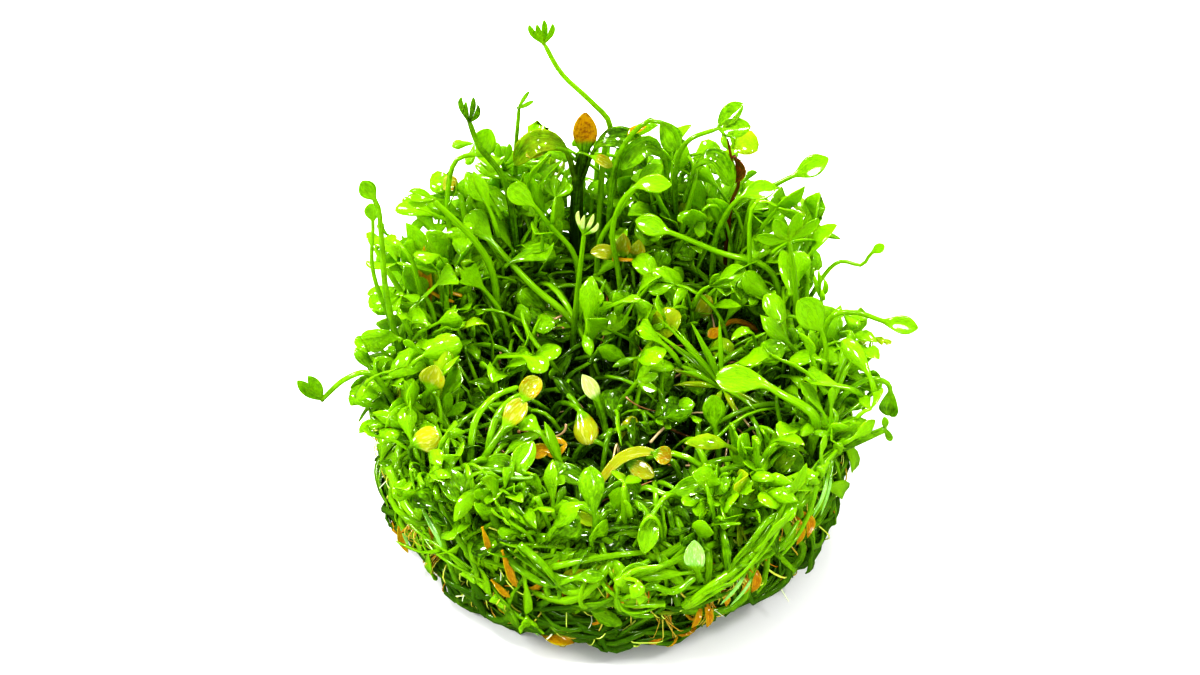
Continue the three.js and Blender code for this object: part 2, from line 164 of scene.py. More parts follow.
# The standing fronds. A stalk runs from its foot, given by x and y alone, to the base of its leaf. The way
# to the front light is kept free of short growth over the distance called clear.
FRONDS = {
    "frond_tall_curved": dict(
        stalk=[(-3, 33), (-1.5, 36, 50), (-0.5, 36, 57), (-4, 36, 62), (-9, 36, 68), (-12, 36, 74.5)],
        tip=(-12.5, 35.5, 79.5), leaflets=4, spread=56, claw=0.3, leaf_width=1.05, radius=0.6, tone=0.6,
    ),
    "frond_back_left_claw": dict(
        stalk=[(-17, 31), (-19.5, 28, 51), (-23.5, 27.8, 58.3), (-25, 27.8, 63.8)],
        tip=(-24.6, 27.3, 69.2), leaflets=4, spread=46, claw=0.55, leaf_width=0.95, radius=0.7, tone=0.15,
    ),
    "frond_back_slim": dict(
        stalk=[(-17.5, 35.5), (-17.5, 34, 48), (-16.5, 34, 62)],
        tip=(-14, 33.5, 65), leaflets=2, spread=30, claw=0.1, leaf_width=0.7, radius=0.5, tone=0.3,
    ),
    "frond_back_left_round": dict(
        stalk=[(-29.5, 25), (-29.5, 28, 47), (-27.5, 29.5, 54), (-23.5, 29.8, 55.3)],
        tip=(-21.5, 30, 60.4), width=4.4, tone=0.45,
    ),
    "frond_back_arched": dict(
        stalk=[(-1, 30.5), (0.5, 29.5, 52), (3.5, 28.5, 60.5), (7.5, 28, 64)],
        tip=(11.3, 27.5, 57.5), width=4.4, tone=0.3,
    ),
    "frond_back_right_high": dict(
        stalk=[(13, 34), (11.5, 31.5, 51), (13.5, 31, 57), (18.5, 30.5, 60)],
        tip=(24, 30, 63.5), leaflets=2, spread=40, tone=0.35,
    ),
    "frond_back_right_spoon": dict(
        stalk=[(18.5, 25.5), (19, 25, 41), (23, 24.5, 49.5)],
        tip=(29, 24, 52), width=3.8, long=1.8, blunt=0.8, tone=0.55,
    ),
    "frond_right_far_spoon": dict(
        stalk=[(24.5, 28), (25.5, 27, 47), (29.5, 27, 50.5), (33.5, 26.5, 53.5)],
        tip=(38, 26, 57), width=4.0, long=1.9, blunt=0.8, tone=0.5,
    ),
    "frond_right_fan": dict(
        stalk=[(33.5, 12.5), (32, 12, 41), (30.5, 12, 50)],
        tip=(29.5, 11.5, 56.5), leaflets=4, spread=115, tone=0.8, clear=18,
    ),
    "frond_right_long": dict(
        stalk=[(34, 20), (28.5, 21, 35), (19, 21, 39.5), (12.5, 21, 43)],
        tip=(4, 21, 47), width=4.0, long=1.7, blunt=0.75, radius=0.65, tone=0.8,
    ),
    "frond_centre_arch": dict(
        stalk=[(3, 20), (1.2, 23.5, 32), (0, 24, 42), (2, 24, 49.5), (4.8, 24, 52.5)],
        tip=(10.5, 23.5, 53), width=3.4, long=2.1, blunt=0.85, tone=0.7,
    ),
    "frond_centre_twin": dict(
        stalk=[(-2.5, 27), (-2.2, 28, 36), (1.2, 28, 43), (4, 28.5, 48)],
        tip=(9, 28.5, 53.5), width=3.4, long=2.1, blunt=0.85, tone=0.7,
    ),
    "frond_back_left_bright": dict(
        stalk=[(-6.5, 24.5), (-6.8, 26, 34), (-11.6, 26, 42), (-14, 26, 46)],
        tip=(-18.5, 26, 50.5), width=4.2, widest=0.68, blunt=0.5, tone=0.9,
    ),
    "frond_left_long": dict(
        stalk=[(-3, 12), (-6, 16.5, 25), (-14.5, 21.5, 31), (-22, 26.5, 37.5)],
        tip=(-26, 28.5, 42.5), width=4.8, widest=0.74, blunt=0.45, radius=0.75, tone=1.0, clear=34,
    ),
    "frond_left_folded": dict(
        stalk=[(-21, 18), (-21.5, 20, 35), (-24.5, 20, 43), (-31.5, 20, 52.5)],
        tip=(-35.9, 20, 53.1), leaflets=4, spread=32, claw=0.7, leaf_width=1.3, radius=0.75, tone=0.8,
        clear=20,
    ),
    "frond_pale_bud": dict(
        stalk=[(-7.5, 14), (-6.8, 15, 28), (-5, 15, 49)],
        tip=(-4, 14.5, 54), leaflets=4, spread=58, claw=0.4, leaf_width=0.75, tone=0.7, clear=18,
    ),
    "frond_left_tall": dict(
        stalk=[(-37, 3.5), (-39, 4, 45), (-39, 4, 59), (-39.2, 4, 64.5)],
        tip=(-41.5, 3.5, 70), width=3, tone=0.45,
    ),
    "frond_left_slim": dict(
        stalk=[(-38.5, 8), (-41.3, 7, 47), (-40.6, 7, 58)],
        tip=(-40.6, 7, 62.5), width=2.6, radius=0.45, tone=0.5,
    ),
    "frond_left_outlier": dict(
        stalk=[(-39, -5.5), (-42, -6, 35.5), (-46, -6, 34), (-50.5, -6, 29)],
        tip=(-53.5, -6.5, 35), leaflets=2, spread=19, claw=0.3, leaf_width=2.1, tone=0.6,
    ),
    "frond_left_spoon": dict(
        stalk=[(-31.5, 11), (-32.3, 14.5, 31), (-33.7, 16, 34)],
        tip=(-36.5, 17.5, 40), width=5, tone=1.0, clear=30,
    ),
    "frond_left_toothed": dict(
        stalk=[(-18, 16), (-20, 17.7, 27), (-23, 18, 33)],
        tip=(-27, 17.5, 39), width=4.6, widest=0.8, blunt=0.34, teeth=0.2, tone=1.0, clear=30,
    ),
    "frond_yellow_cup": dict(
        stalk=[(-32.8, -6), (-32.5, -8, 31.5), (-31.2, -9.2, 34.8)],
        tip=(-29.9, -8.8, 40), width=4.6, long=1.25, cup=0.5, radius=0.8, tone=0.7, clear=20,
    ),
    "frond_left_lobed": dict(
        stalk=[(-28, -12.5), (-29, -10, 24), (-29, -9, 28)],
        tip=(-28, -7.5, 32.5), leaflets=3, spread=80, tone=0.85,
    ),
    "frond_yellow_round": dict(
        stalk=[(-34, -20), (-34.2, -20.6, 31), (-33.4, -20.6, 33)],
        tip=(-29, -20.6, 35), width=4.6, long=1.2, cup=-0.4, tone=0.4, clear=16,
    ),
    "frond_double_yellow": dict(
        stalk=[(-23.5, -20.5), (-22.8, -19.5, 26), (-17.5, -15, 33)],
        tip=(-14.9, -12.3, 35.4), width=3.7, long=1.7, radius=0.75, tone=0.7,
        more=[
            laid(
                (-15.3, -12.7, 35), (-14, -11.5, 37), (-12.4, -9.9, 38), width=3.6, start=0.02, cup=0.7,
                wilt=0.8,
            ),
        ],
    ),
    "frond_pale_front": dict(
        stalk=[(0, -12), (-1.5, -7, 25), (-2.4, -6, 28)],
        tip=(-5.3, -3.8, 33), width=2.8, long=2.2, blunt=0.8, cup=0.9, tone=0.7,
    ),
    "frond_yellow_bud": dict(
        stalk=[(-12, -1), (-9.5, -3, 25), (-5.8, -7.8, 28)],
        tip=(-4, -13.5, 25.5), width=4.4, cup=-0.5, tone=0.6,
    ),
    "frond_three_leaflet": dict(
        stalk=[(1.5, -1), (1.3, -2.5, 24), (4.4, -3.6, 31.2)],
        tip=(8, -4.6, 33.5), leaflets=3, spread=70, tone=0.75,
    ),
    "frond_yellow_curved": dict(
        stalk=[(-4.5, -23.5), (-3, -23, 24), (1, -20.5, 29), (4.3, -19.6, 30)],
        tip=(7.5, -19.8, 30), width=1.9, long=9, widest=0.72, blunt=0.5, radius=0.7, tone=0.6,
        more=[
            laid((6.3, -19.8, 30), (8, -20, 29.6), (9.8, -20.3, 29), width=3.2, start=0.1, cup=0.9, wilt=1),
            laid((1.5, -20, 28.5), (4, -20.5, 27), (7, -21.5, 26), width=3, start=0.1),
        ],
    ),
    "frond_big_right": dict(
        stalk=[(36, -16), (34, -15, 34), (28.8, -12, 36), (25, -9, 36)],
        tip=(17.5, -7.8, 36), width=5.0, long=1.9, widest=0.66, radius=0.95, tone=0.85,
    ),
    "frond_right_small_spoon": dict(
        stalk=[(18.8, -14), (18, -12, 25), (17.5, -10.5, 28)],
        tip=(17.3, -8.5, 32.7), width=4, tone=0.8,
    ),
    "frond_right_yellow_round": dict(
        stalk=[(13.6, 14.4), (14.2, 15, 25), (15.2, 16, 28.5)],
        tip=(17.5, 16, 33.5), width=4.2, tone=0.5, clear=20,
    ),
    "frond_right_paddle": dict(
        stalk=[(36.5, 3.5), (38, 2.5, 41), (42, 2, 42.2), (46.7, 2, 40.2)],
        tip=(53, 2, 38.5), width=3.4, long=2.0, blunt=0.85, tone=0.55,
    ),
    "frond_right_curl": dict(
        stalk=[(37, 20), (40.5, 20, 38), (44.8, 20, 37.3), (46.2, 20, 40)],
        tip=(48.5, 20, 42), width=1.8, radius=0.45, tone=0.7,
    ),
    "frond_right_hook": dict(
        stalk=[(37.5, -8), (40.4, -8, 33), (44, -8, 36), (47, -8, 34.9), (47.8, -8, 32)],
        tip=(48, -8, 27), width=3.5, long=1.7, blunt=0.65, face=(-0.4, -0.9, 0.2), cup=0.6, tone=0.6,
    ),
    "frond_right_low": dict(
        stalk=[(38.5, -16), (40.5, -16.3, 28.5), (46.4, -16, 32)],
        tip=(49.3, -15.8, 32.8), face=(0, -1, 0), leaflets=2, spread=176, leaf_width=1.2, radius=0.85,
        tone=0.6,
    ),
    "frond_right_upright": dict(
        stalk=[(36.5, -3), (36.8, -2, 36), (36, -1, 40)],
        tip=(31.5, -1, 48), width=5.6, tone=0.9,
    ),
}

# Dead growth that still stands among the fronds
WITHERED = {
    "withered_leaf_back": dict(
        stalk=[(-6.5, 34.5), (-6.3, 34.5, 44), (-5, 34, 53)],
        tip=(-4.8, 34, 61), width=4.1, long=2.1, widest=0.52, blunt=0.72, radius=1.4, tone=0.1, wilt=0.7,
        material="orange_leaf",
    ),
    "withered_stalk_back": dict(
        stalk=[(22.5, 32), (21.5, 29.2, 44), (22.6, 29, 49), (21.2, 29, 54), (20.2, 29, 59)],
        radius=0.6, tone=0.3, material="dead_stalk",
        more=[laid((21.5, 29, 55), (22.9, 28.8, 52.5), (21.8, 29, 49), width=2.2, start=0.05, wilt=1)],
    ),
    "withered_leaf_right": dict(
        stalk=[(28, 17), (26.5, 17.3, 24), (22, 16.3, 27)],
        tip=(17.2, 11.5, 27.5), width=2, tone=0.4,
    ),
    "withered_cup_front": dict(
        stalk=[(-16, -16.5), (-13.7, -16.2, 25.5)], tip=(-10.8, -15.8, 27.2), width=2.6, cup=0.8, tone=0.8,
        more=[
            laid((-12, -16, 26.6), (-9.9, -14.9, 28), (-7.8, -15.8, 28), width=1.1, start=0.05),
            laid((-12, -16, 26.6), (-9.9, -17.4, 27), (-7.8, -15.8, 28), width=1.1, start=0.05),
        ],
    ),
}

# Creeping stems that lie over the rim and down the side of the puck
RUNNERS = {
    "runner_front_right": [
        (11, -39.5, 13.5), (13, -41.6, 17.5), (16, -41, 20.2), (20.5, -39, 22.3), (25, -36.2, 26.5),
        (28.2, -33.2, 30.3), (32.6, -28.4, 31.3), (36.6, -22.3, 31.8), (40.3, -16, 31),
    ],
    "runner_front_loop": [
        (8.5, -41.6, 17.2), (1.5, -42.6, 17.5), (0.9, -43.6, 24), (4, -43.4, 27.2), (8, -42.5, 27.5),
    ],
    "runner_left": [
        (-38, -18, 25), (-35, -24.2, 21.5), (-27.5, -32.4, 18), (-19, -38.4, 13), (-11.5, -41, 8.5),
    ],
}

# Leaves, straps and remnants that lie over the clump, by finish
LYING = dict(fresh=(
    laid(
        (-18.5, -32.5, 23), (-21, -29.5, 27.5), (-24, -26.5, 29.5), (-27, -27.5, 29), (-24.5, -30, 28),
        width=3.4,
    ),
    laid((-19.5, -22, 22), (-17.3, -24.5, 27), (-16.5, -29, 28.5), (-15, -36, 26), width=3.2),
    laid((-14, -28, 22), (-13.5, -26.5, 27), (-13, -25, 30.5), width=3.0),
    laid((-18, -26, 22), (-16.5, -23.5, 28), (-13.5, -18.5, 31.5), width=3.8),
    laid((-25, -20, 22), (-21, -20.5, 27), (-16, -20, 27.5), width=3.8, tone=0.75),
    laid((-14, -22.5, 23), (-10, -22, 27.5), (-4.5, -22.5, 26), width=3.4, tone=0.65),
    laid((-14.5, -33.5, 23), (-9, -32, 28), (-2, -33.5, 27.5), width=2.4, tone=0.95, wilt=0.35),
    laid((-12, -36, 22), (-5, -34.5, 26.5), (1.5, -37.5, 25), (5, -40, 21), width=2.0, tone=0.9),
    laid((-4, -31, 22), (-2, -28, 28), (2, -26, 29.5), (4.5, -25.5, 26), width=2.2, tone=0.5),
    laid((0, -37, 21), (1, -33, 28), (4, -31.5, 30), (5.8, -34.5, 29), (5, -39, 26), width=3.4),
    laid((6, -39.5, 25), (2.3, -41, 24), (0.8, -42.6, 19.5), (2.8, -43, 16), (6.8, -42.5, 14.5)),
    laid((4, -42, 19.5), (6.5, -43, 22.5), (10, -42.8, 21), (13.5, -41, 22.5)),
    laid((2, -24, 22), (5.5, -25.5, 27.5), (9, -27.5, 28), (15.5, -24.5, 28), width=3.3, tone=0.75),
    laid((6, -27, 22), (10, -29.8, 26.5), (17.5, -28.6, 27), width=3.2, tone=0.3),
    laid((13, -15, 20), (19, -17, 25.5), (27, -18.5, 26.5), width=3.2, tone=0.7),
    laid((34, -21.5, 24), (30.5, -20.5, 28.5), (26.3, -19.5, 28), width=4.6, tone=0.6),
    laid((27, -29, 24), (23, -29.8, 29.5), (19.8, -31, 30), (18, -35.5, 28), width=4.0, tone=0.85),
    laid((7.5, -35.5, 22), (7.8, -34.5, 26), (6.5, -33, 29.5), width=2.6),
    laid((23, -34, 22), (26, -31, 27.5), (25.5, -25.5, 30), width=2.4, tone=0.7),
    laid(
        (-27, -22, 23), (-29.5, -27.5, 30), (-28.5, -31, 28), (-26, -33.4, 24), (-23.5, -35.4, 20),
        (-22.5, -36, 15), radius=0.6,
    ),
    laid(
        (-29, -20, 23), (-32, -25, 29), (-30.5, -29, 26), (-28.5, -31.5, 21), (-27.5, -33, 16),
        (-25.5, -34, 10), radius=0.55,
    ),
    laid(
        (-8.8, -41.6, 20), (-7.3, -42.2, 22), (-5.7, -42.2, 20.5), (-6.6, -42.2, 17.8),
        (-8.6, -41.9, 18), (-9, -41.6, 20.6), radius=0.55,
    ),
    laid((-24.5, -17.5, 22), (-24.3, -17.5, 27), (-23.3, -13.7, 32), (-20.5, -10.7, 34), (-16.2, -6.8, 33)),
    laid((-21.6, -17.5, 22), (-21.4, -17.5, 27), (-20, -13.2, 31.5), (-17.5, -10.2, 33), (-13.6, -5.9, 31)),
    laid(
        (28, -33, 29.5), (25.3, -35.2, 29.8), (22.4, -37.5, 26.8), (19.5, -39.2, 23.5), (17, -40.2, 20),
        radius=0.55,
    ),
    laid((19, -38, 21), (21, -39.2, 23.5), (24, -37.2, 22.5), (28, -34, 22.5), (31, -31, 25.5), radius=0.5),
    laid((34, -27, 29.5), (33, -29.3, 26.5), (31, -31.6, 22.5), (28, -34.2, 20), radius=0.4, tone=1),
    laid(
        (-6.5, 33.5, 46), (-9, 33, 54), (-13.5, 32, 56), (-17.5, 31.5, 51), width=4.2, long=3.2,
        tone=0.15, wilt=0.3,
    ),
    laid((-5.5, 33.5, 46), (-2, 33, 55), (2.5, 32, 56), (6, 31, 51), width=4.4, long=3.2, tone=0.1),
    laid((10, 31, 44), (9, 30, 54), (6, 29.5, 57), (1.5, 29, 52), width=4, long=2.8, tone=0.25),
    laid((13, 30, 44), (15, 29, 53), (18, 28.5, 55), (21.5, 28, 49), width=4, long=2.8, tone=0.3),
    laid(
        (-15.5, -38.6, 28), (-12, -40.6, 26), (-9, -41.8, 22), (-5, -42.2, 17.5), (-1, -42.3, 16),
        width=2,
    ),
    laid(
        (-20, -36.5, 26), (-15, -39.2, 22), (-10.5, -41.3, 21), (-6, -42.3, 24), (-1.5, -42, 24),
        width=2.2,
    ),
), mint=(
    laid((14.4, -39.5, 20), (13.4, -40.2, 25.5), (13.2, -38.6, 29), width=3.4, tone=1.0),
    laid(
        (-30, -18, 23), (-34, -22.5, 30), (-33.2, -26, 27), (-30.8, -29.3, 23), (-28.2, -32, 19),
        (-27, -33.2, 13), radius=0.3, width=0.9, start=0.1, long=20,
    ),
    laid(
        (-35, -19, 22), (-36.8, -20.5, 19), (-36.6, -21.3, 14), (-35.4, -23, 9), radius=0.3, width=0.8,
        start=0.1, long=20,
    ),
    thread((-18.5, -37.3, 12), (-17.5, -38.8, 11.6), (-16, -39.4, 10.6), (-15.4, -39.6, 11.8), width=0.5),
    thread((-17, -38, 10), (-14.5, -40.2, 9.5), (-12.5, -41, 7.5), width=0.5),
    thread((36.5, -22, 30), (35.2, -26.8, 27.5), (33.5, -29, 24), width=0.6),
    thread((37.2, -21, 29.5), (36.2, -25.4, 26.5), (35, -27.4, 22.5), width=0.5),
    thread((23, -36.5, 21), (20.5, -39.6, 18.5), (17.8, -40.6, 15), width=0.6),
    thread((24.3, -35.8, 20), (22, -38.8, 17), (19.5, -39.6, 13.5), width=0.5),
), yellow=(
    laid((1, 25.5, 31), (0, 25, 35), (-1.1, 25, 36), (-4, 25, 36), width=2.8, tone=0.9, wilt=0.15),
    laid((2, 26, 31), (2, 25.2, 36), (2.1, 25, 40.6), width=3, tone=0.9, wilt=0.25),
    laid((4, 26, 31), (4.6, 25.2, 35.5), (4.9, 25, 39), width=3, tone=0.8, wilt=0.35),
    laid((-29.4, 26.9, 45.5), (-28, 28.5, 47.5), (-28, 30, 48.3), (-30.5, 30.5, 46.5), width=3),
    laid((-6.5, 34, 50), (-9, 32.5, 54), (-12, 31.5, 54.5), (-15.5, 31, 53.5), width=2.2),
    laid((-6.5, 34, 50), (-6, 32, 53.5), (-3, 31, 53), (0, 31, 51), width=2.2),
), dead=(
    laid((-18.3, -38, 25.8), (-17.2, -39.2, 21.5), (-16, -39.2, 17.8), width=1.5),
    laid((-20.4, -37, 17.4), (-18.5, -38.6, 16), (-17, -38.8, 14.8), width=1.1),
    laid((-21.5, -36.2, 29.5), (-20.8, -37.2, 26.5), (-20.2, -37, 24), width=1.1),
    laid((-37, -20.4, 14), (-36.8, -22, 11), (-35.6, -23.4, 8.6), width=1.6),
    laid((-31, -28.8, 22.5), (-30.3, -30, 19.5), (-29.4, -30.4, 16.5), width=1.3),
    laid((-13.2, -38.4, 7), (-10, -40.4, 6.4), (-6.5, -41, 5.6), width=2.6),
    laid((31.7, -25.1, 21.5), (33.6, -25.2, 18.8), (33.2, -27, 16.5), width=1.7, tone=0.4),
    laid((31.2, -25.6, 21), (32, -27.6, 18.5), (31.2, -28.6, 16.5), width=1.3, tone=0.5),
    laid((23.5, -33.2, 17), (24.2, -35, 14.8), (23.4, -35.8, 12.6), width=1.6, tone=0.4),
    laid((22.8, -33.6, 16.5), (22.4, -36.2, 14.6), (21.2, -36.8, 12.8), width=1.2, tone=0.6),
    laid((17.6, -36.6, 16.2), (19, -38, 14), (19, -38.4, 12), width=1.3, tone=0.5),
    laid((15.3, -37.8, 13.4), (16.2, -39.8, 11), (15.8, -40.2, 8.8), width=1.4, tone=0.4),
    laid((14.8, -38, 13), (14.2, -40.2, 11), (13.2, -40.6, 9), width=1.1, tone=0.6),
    laid((2.6, 29, 58.2), (3.5, 30, 59.5), (6, 30.5, 60.5), width=1.6),
    laid((-32.8, 16, 30), (-33, 17, 36), (-33.4, 17, 41), (-33.2, 17, 44.5), width=2.6),
    laid((-33, 17.5, 37), (-30, 17, 34), (-27, 17, 32.5), radius=0.45),
    laid((-33, 16, 35), (-31, 16, 33.2), (-28.5, 16.5, 31.5), radius=0.4),
    laid((0, 24.5, 34.8), (2.5, 24.5, 34.6), (5.2, 24.3, 34.7), radius=0.4),
), straw=(
    laid((-30, 17, 30.5), (-28.7, 17, 27), (-27.2, 17, 23.5), radius=0.4, tone=0.5, wilt=0.1),
))

# The piece that the growth of each finish makes, its slot and material, and its leaves' tone and wilt
LYING_FINISHES = dict(
    fresh=("front_leaves", "fresh_leaf", None, 0.85, 0.0),
    mint=("pale_front_growth", "pale_bud", "mint_leaf", 0.85, 0.0),
    yellow=("fading_leaves", "yellow_leaf", None, 0.4, 0.5),
    dead=("dead_remnants", "withered", None, 0.75, 0.5),
    straw=("single_straws", "withered", "straws", 0.85, 0.0),
)

# A tuft of thin spiky young leaves at the right of the dish, all from one short stem. More stand among those
# whose tips are given.
SPIKY_TUFT = dict(
    foot=(19, 0),
    top=(19.2, -1.5, 27.5),
    spikes=[
        (10.4, 3, 37), (14, 3.5, 38), (18.5, 4, 39), (22, -9.5, 27), (28.7, -8, 27), (10.5, -2, 28.5),
        (13, 1, 35),
    ],
    more=13,
    radius=0.9,
)

# A sheaf of grassy stalks in the middle of the dish: its outermost feet and how far a stalk leans and rises
SHEAF = dict(stalks=34, left=(-7.5, 12.5, 17), right=(3.0, 20.5, 17), lean=(7, 6.5, 17))

# Where bundles of old roots hang below the rim: bearing in degrees and height
ROOT_BUNDLES = (
    (317, 23), (301, 18), (292, 13), (276, 22), (282, 12), (255, 6), (243, 15), (223, 14), (217, 19),
    (20, 16), (62, 17), (118, 15), (160, 16), (190, 18),
)


def smooth(x):
    x = np.clip(x, 0, 1)
    return x * x * (3 - 2 * x)


def unit(vectors):
    return vectors / np.maximum(np.linalg.norm(vectors, axis=-1, keepdims=True), 1e-9)


def polar(bearing, distance, height):
    """Points given by bearing in radians, where 0 is +X and a quarter turn the back."""
    return np.stack(np.broadcast_arrays(distance * np.cos(bearing), distance * np.sin(bearing), height), -1)


def from_axis(points):
    """Distances of points from the axis of the puck."""
    return np.hypot(points[..., 0], points[..., 1])


def any_way(random, count):
    """Bearings or headings all the way round, in radians."""
    return random.uniform(0, 2 * math.pi, count)


def mat_top(distance):
    """Height of the puck's top at a distance from the axis."""
    share = smooth((distance - MAT_FLOOR_RADIUS) / (MAT_RIM_INSIDE - MAT_FLOOR_RADIUS))
    return MAT_FLOOR_HEIGHT + (MAT_RIM_HEIGHT - MAT_FLOOR_HEIGHT) * share


def side_radius(height):
    """Radius of the puck's side at a height."""
    return FOOTPRINT_RADIUS + (MAT_RADIUS - FOOTPRINT_RADIUS) * np.sqrt(smooth(height / UNDERCUT_HEIGHT))


def low_edge(height):
    """1 up the first 3 mm of the side, and from there down to 0 at 10 mm."""
    return 1 - smooth((height - 3) / 7)


def eaten_away(bearing, height):
    """How far the low edge of the puck is eaten away."""
    depth = 0
    for centre, half_arc, bite in BITES:
        turn = np.abs((np.degrees(bearing) - centre + 180) % 360 - 180)
        depth = depth + bite * (1 - smooth(turn / half_arc))
    return depth * low_edge(height)


def lumps(bearing, height):
    """How far the side of the puck swells out or is eaten in."""
    ridges = 0.7 * np.sin(5 * bearing + 0.5 * height) + 0.5 * np.sin(9 * bearing - 0.8 * height)
    knobs = 1.3 * (np.abs(np.sin(13 * bearing)) - 0.5) * low_edge(height)
    return ridges + knobs - eaten_away(bearing, height)


def skin(bearing, run, lift):
    """Points over the puck. The run goes from the foot of its side up over the rim and down into the dish."""
    shoulder = MAT_RIM_HEIGHT - RIM_ROUNDING
    turn = np.clip((run - shoulder) / RIM_ROUNDING, 0, np.pi / 2)
    over = np.maximum(0, run - shoulder - RIM_ROUNDING * np.pi / 2)
    height = np.minimum(run, shoulder)
    distance = side_radius(height) - RIM_ROUNDING * (1 - np.cos(turn)) - over
    distance = distance + lumps(bearing, height) * np.cos(turn)
    height = np.where(over > 0, mat_top(distance), height + RIM_ROUNDING * np.sin(turn))
    return polar(bearing, distance + lift * np.cos(turn), height + lift * np.sin(turn))


def canopy_height(bearing):
    """Height of the leaves round the rim, low at the front and high at the back."""
    return CANOPY_HEIGHT + CANOPY_TILT * np.sin(bearing)


# Limbs: closed tubes that widen into blades

class Blank:
    """A closed tube made from a sphere whose poles are the tube's ends."""

    def __init__(self, sides, levels):
        ball = bmesh.new()
        bmesh.ops.create_uvsphere(ball, u_segments=sides, v_segments=levels - 1, radius=1)
        ball.verts.ensure_lookup_table()
        points = np.array([v.co for v in ball.verts])
        self.levels = levels
        self.level = np.rint(np.arccos(np.clip(points[:, 2], -1, 1)) / np.pi * (levels - 1)).astype(int)
        self.turn = np.arctan2(points[:, 1], points[:, 0])
        # How many times a toothed edge rises and falls round the tube
        self.teeth = 6 if sides < 20 else 8
        # The sphere's faces come in another order each time, so they are put in the same one
        faces = sorted([v.index for v in f.verts] for f in ball.faces)
        self.corners = np.concatenate(faces)
        self.sizes = np.array([len(face) for face in faces])
        ball.free()


@functools.cache
def blank(sides, levels):
    return Blank(sides, levels)


class Growth:
    """What is grown for one piece. Its limbs' points, faces and marks are joined into one mesh at the end."""

    def __init__(self):
        self.points = []
        self.marks = []
        self.blades = []
        self.corners = []
        self.sizes = []
        self.count = 0

    def add(self, tube, points, marks, blades):
        copies, size = points.shape[:2]
        starts = self.count + size * np.arange(copies)
        self.corners.append((tube.corners + starts[:, None]).ravel())
        self.sizes.append(np.tile(tube.sizes, copies))
        self.points.append(points.reshape(-1, 3))
        self.marks.append(marks.reshape(-1, 4))
        self.blades.append(blades.reshape(-1, 3))
        self.count += copies * size

    def made(self, name):
        """The mesh object, with the marks that its material reads."""
        points, corners, sizes = (np.concatenate(x) for x in (self.points, self.corners, self.sizes))
        # Nothing goes through the floor
        points[:, 2] = np.maximum(points[:, 2], 0.05)
        mesh = bpy.data.meshes.new(name)
        mesh.vertices.add(len(points))
        mesh.vertices.foreach_set("co", (points * MM).astype(np.float32).ravel())
        mesh.loops.add(len(corners))
        mesh.loops.foreach_set("vertex_index", corners.astype(np.int32))
        mesh.polygons.add(len(sizes))
        mesh.polygons.foreach_set("loop_start", (np.cumsum(sizes) - sizes).astype(np.int32))
        mesh.update(calc_edges=True)
        mesh.shade_smooth()
        growth = mesh.attributes.new("growth", "FLOAT_COLOR", "POINT")
        growth.data.foreach_set("color", np.concatenate(self.marks).astype(np.float32).ravel())
        blade = mesh.attributes.new("blade", "FLOAT_VECTOR", "POINT")
        blade.data.foreach_set("vector", np.concatenate(self.blades).astype(np.float32).ravel())
        piece = bpy.data.objects.new(name, mesh)
        bpy.context.scene.collection.objects.link(piece)
        return piece


def stops(levels, start, blade_share):
    """Shares of the way at which a limb's levels stand: even up the stalk, closer towards the blade's tip."""
    # The second level stands close to the first, which makes the foot's end flat
    bare = round((levels - 1) * (1 - blade_share))
    stalk = np.concatenate([[0], np.linspace(0.004, 1, bare - 1, endpoint=False)])
    blade = np.sin(np.linspace(0, np.pi / 2, levels - bare))
    return np.concatenate([start * stalk, start + (1 - start) * blade], axis=1)


def bezier(corners):
    """The route along cubic curves, from an array of four corners each."""
    def route(share):
        t = share[..., None]
        u = 1 - t
        a, b, c, d = (corners[:, i, None] for i in range(4))
        return u**3 * a + 3 * u * u * t * b + 3 * u * t * t * c + t**3 * d

    route.copies = len(corners)
    return route


def cubic(*corners):
    """The route along cubic curves, from arrays of their first, second, third and last corners."""
    return bezier(np.stack(corners, 1))


def smooth_route(points):
    """The route along one smooth curve through the points, by share of its length."""
    points = np.array(points, float)
    knots = np.concatenate([[0], np.cumsum(np.sqrt(np.linalg.norm(np.diff(points, axis=0), axis=1)))])
    slopes = np.gradient(points, knots, axis=0)
    at = np.linspace(0, knots[-1], 40 * len(points))
    i = np.clip(np.searchsorted(knots, at, side="right") - 1, 0, len(points) - 2)
    gap = (knots[i + 1] - knots[i])[:, None]
    t = (at - knots[i])[:, None] / gap
    line = (
        (2 * t**3 - 3 * t**2 + 1) * points[i] + (t**3 - 2 * t**2 + t) * gap * slopes[i]
        + (3 * t**2 - 2 * t**3) * points[i + 1] + (t**3 - t**2) * gap * slopes[i + 1]
    )
    lengths = np.concatenate([[0], np.cumsum(np.linalg.norm(np.diff(line, axis=0), axis=1))])

    def route(share):
        where = share * lengths[-1]
        return np.stack([np.interp(where, lengths, line[:, k]) for k in range(3)], -1)

    route.length = lengths[-1]
    return route


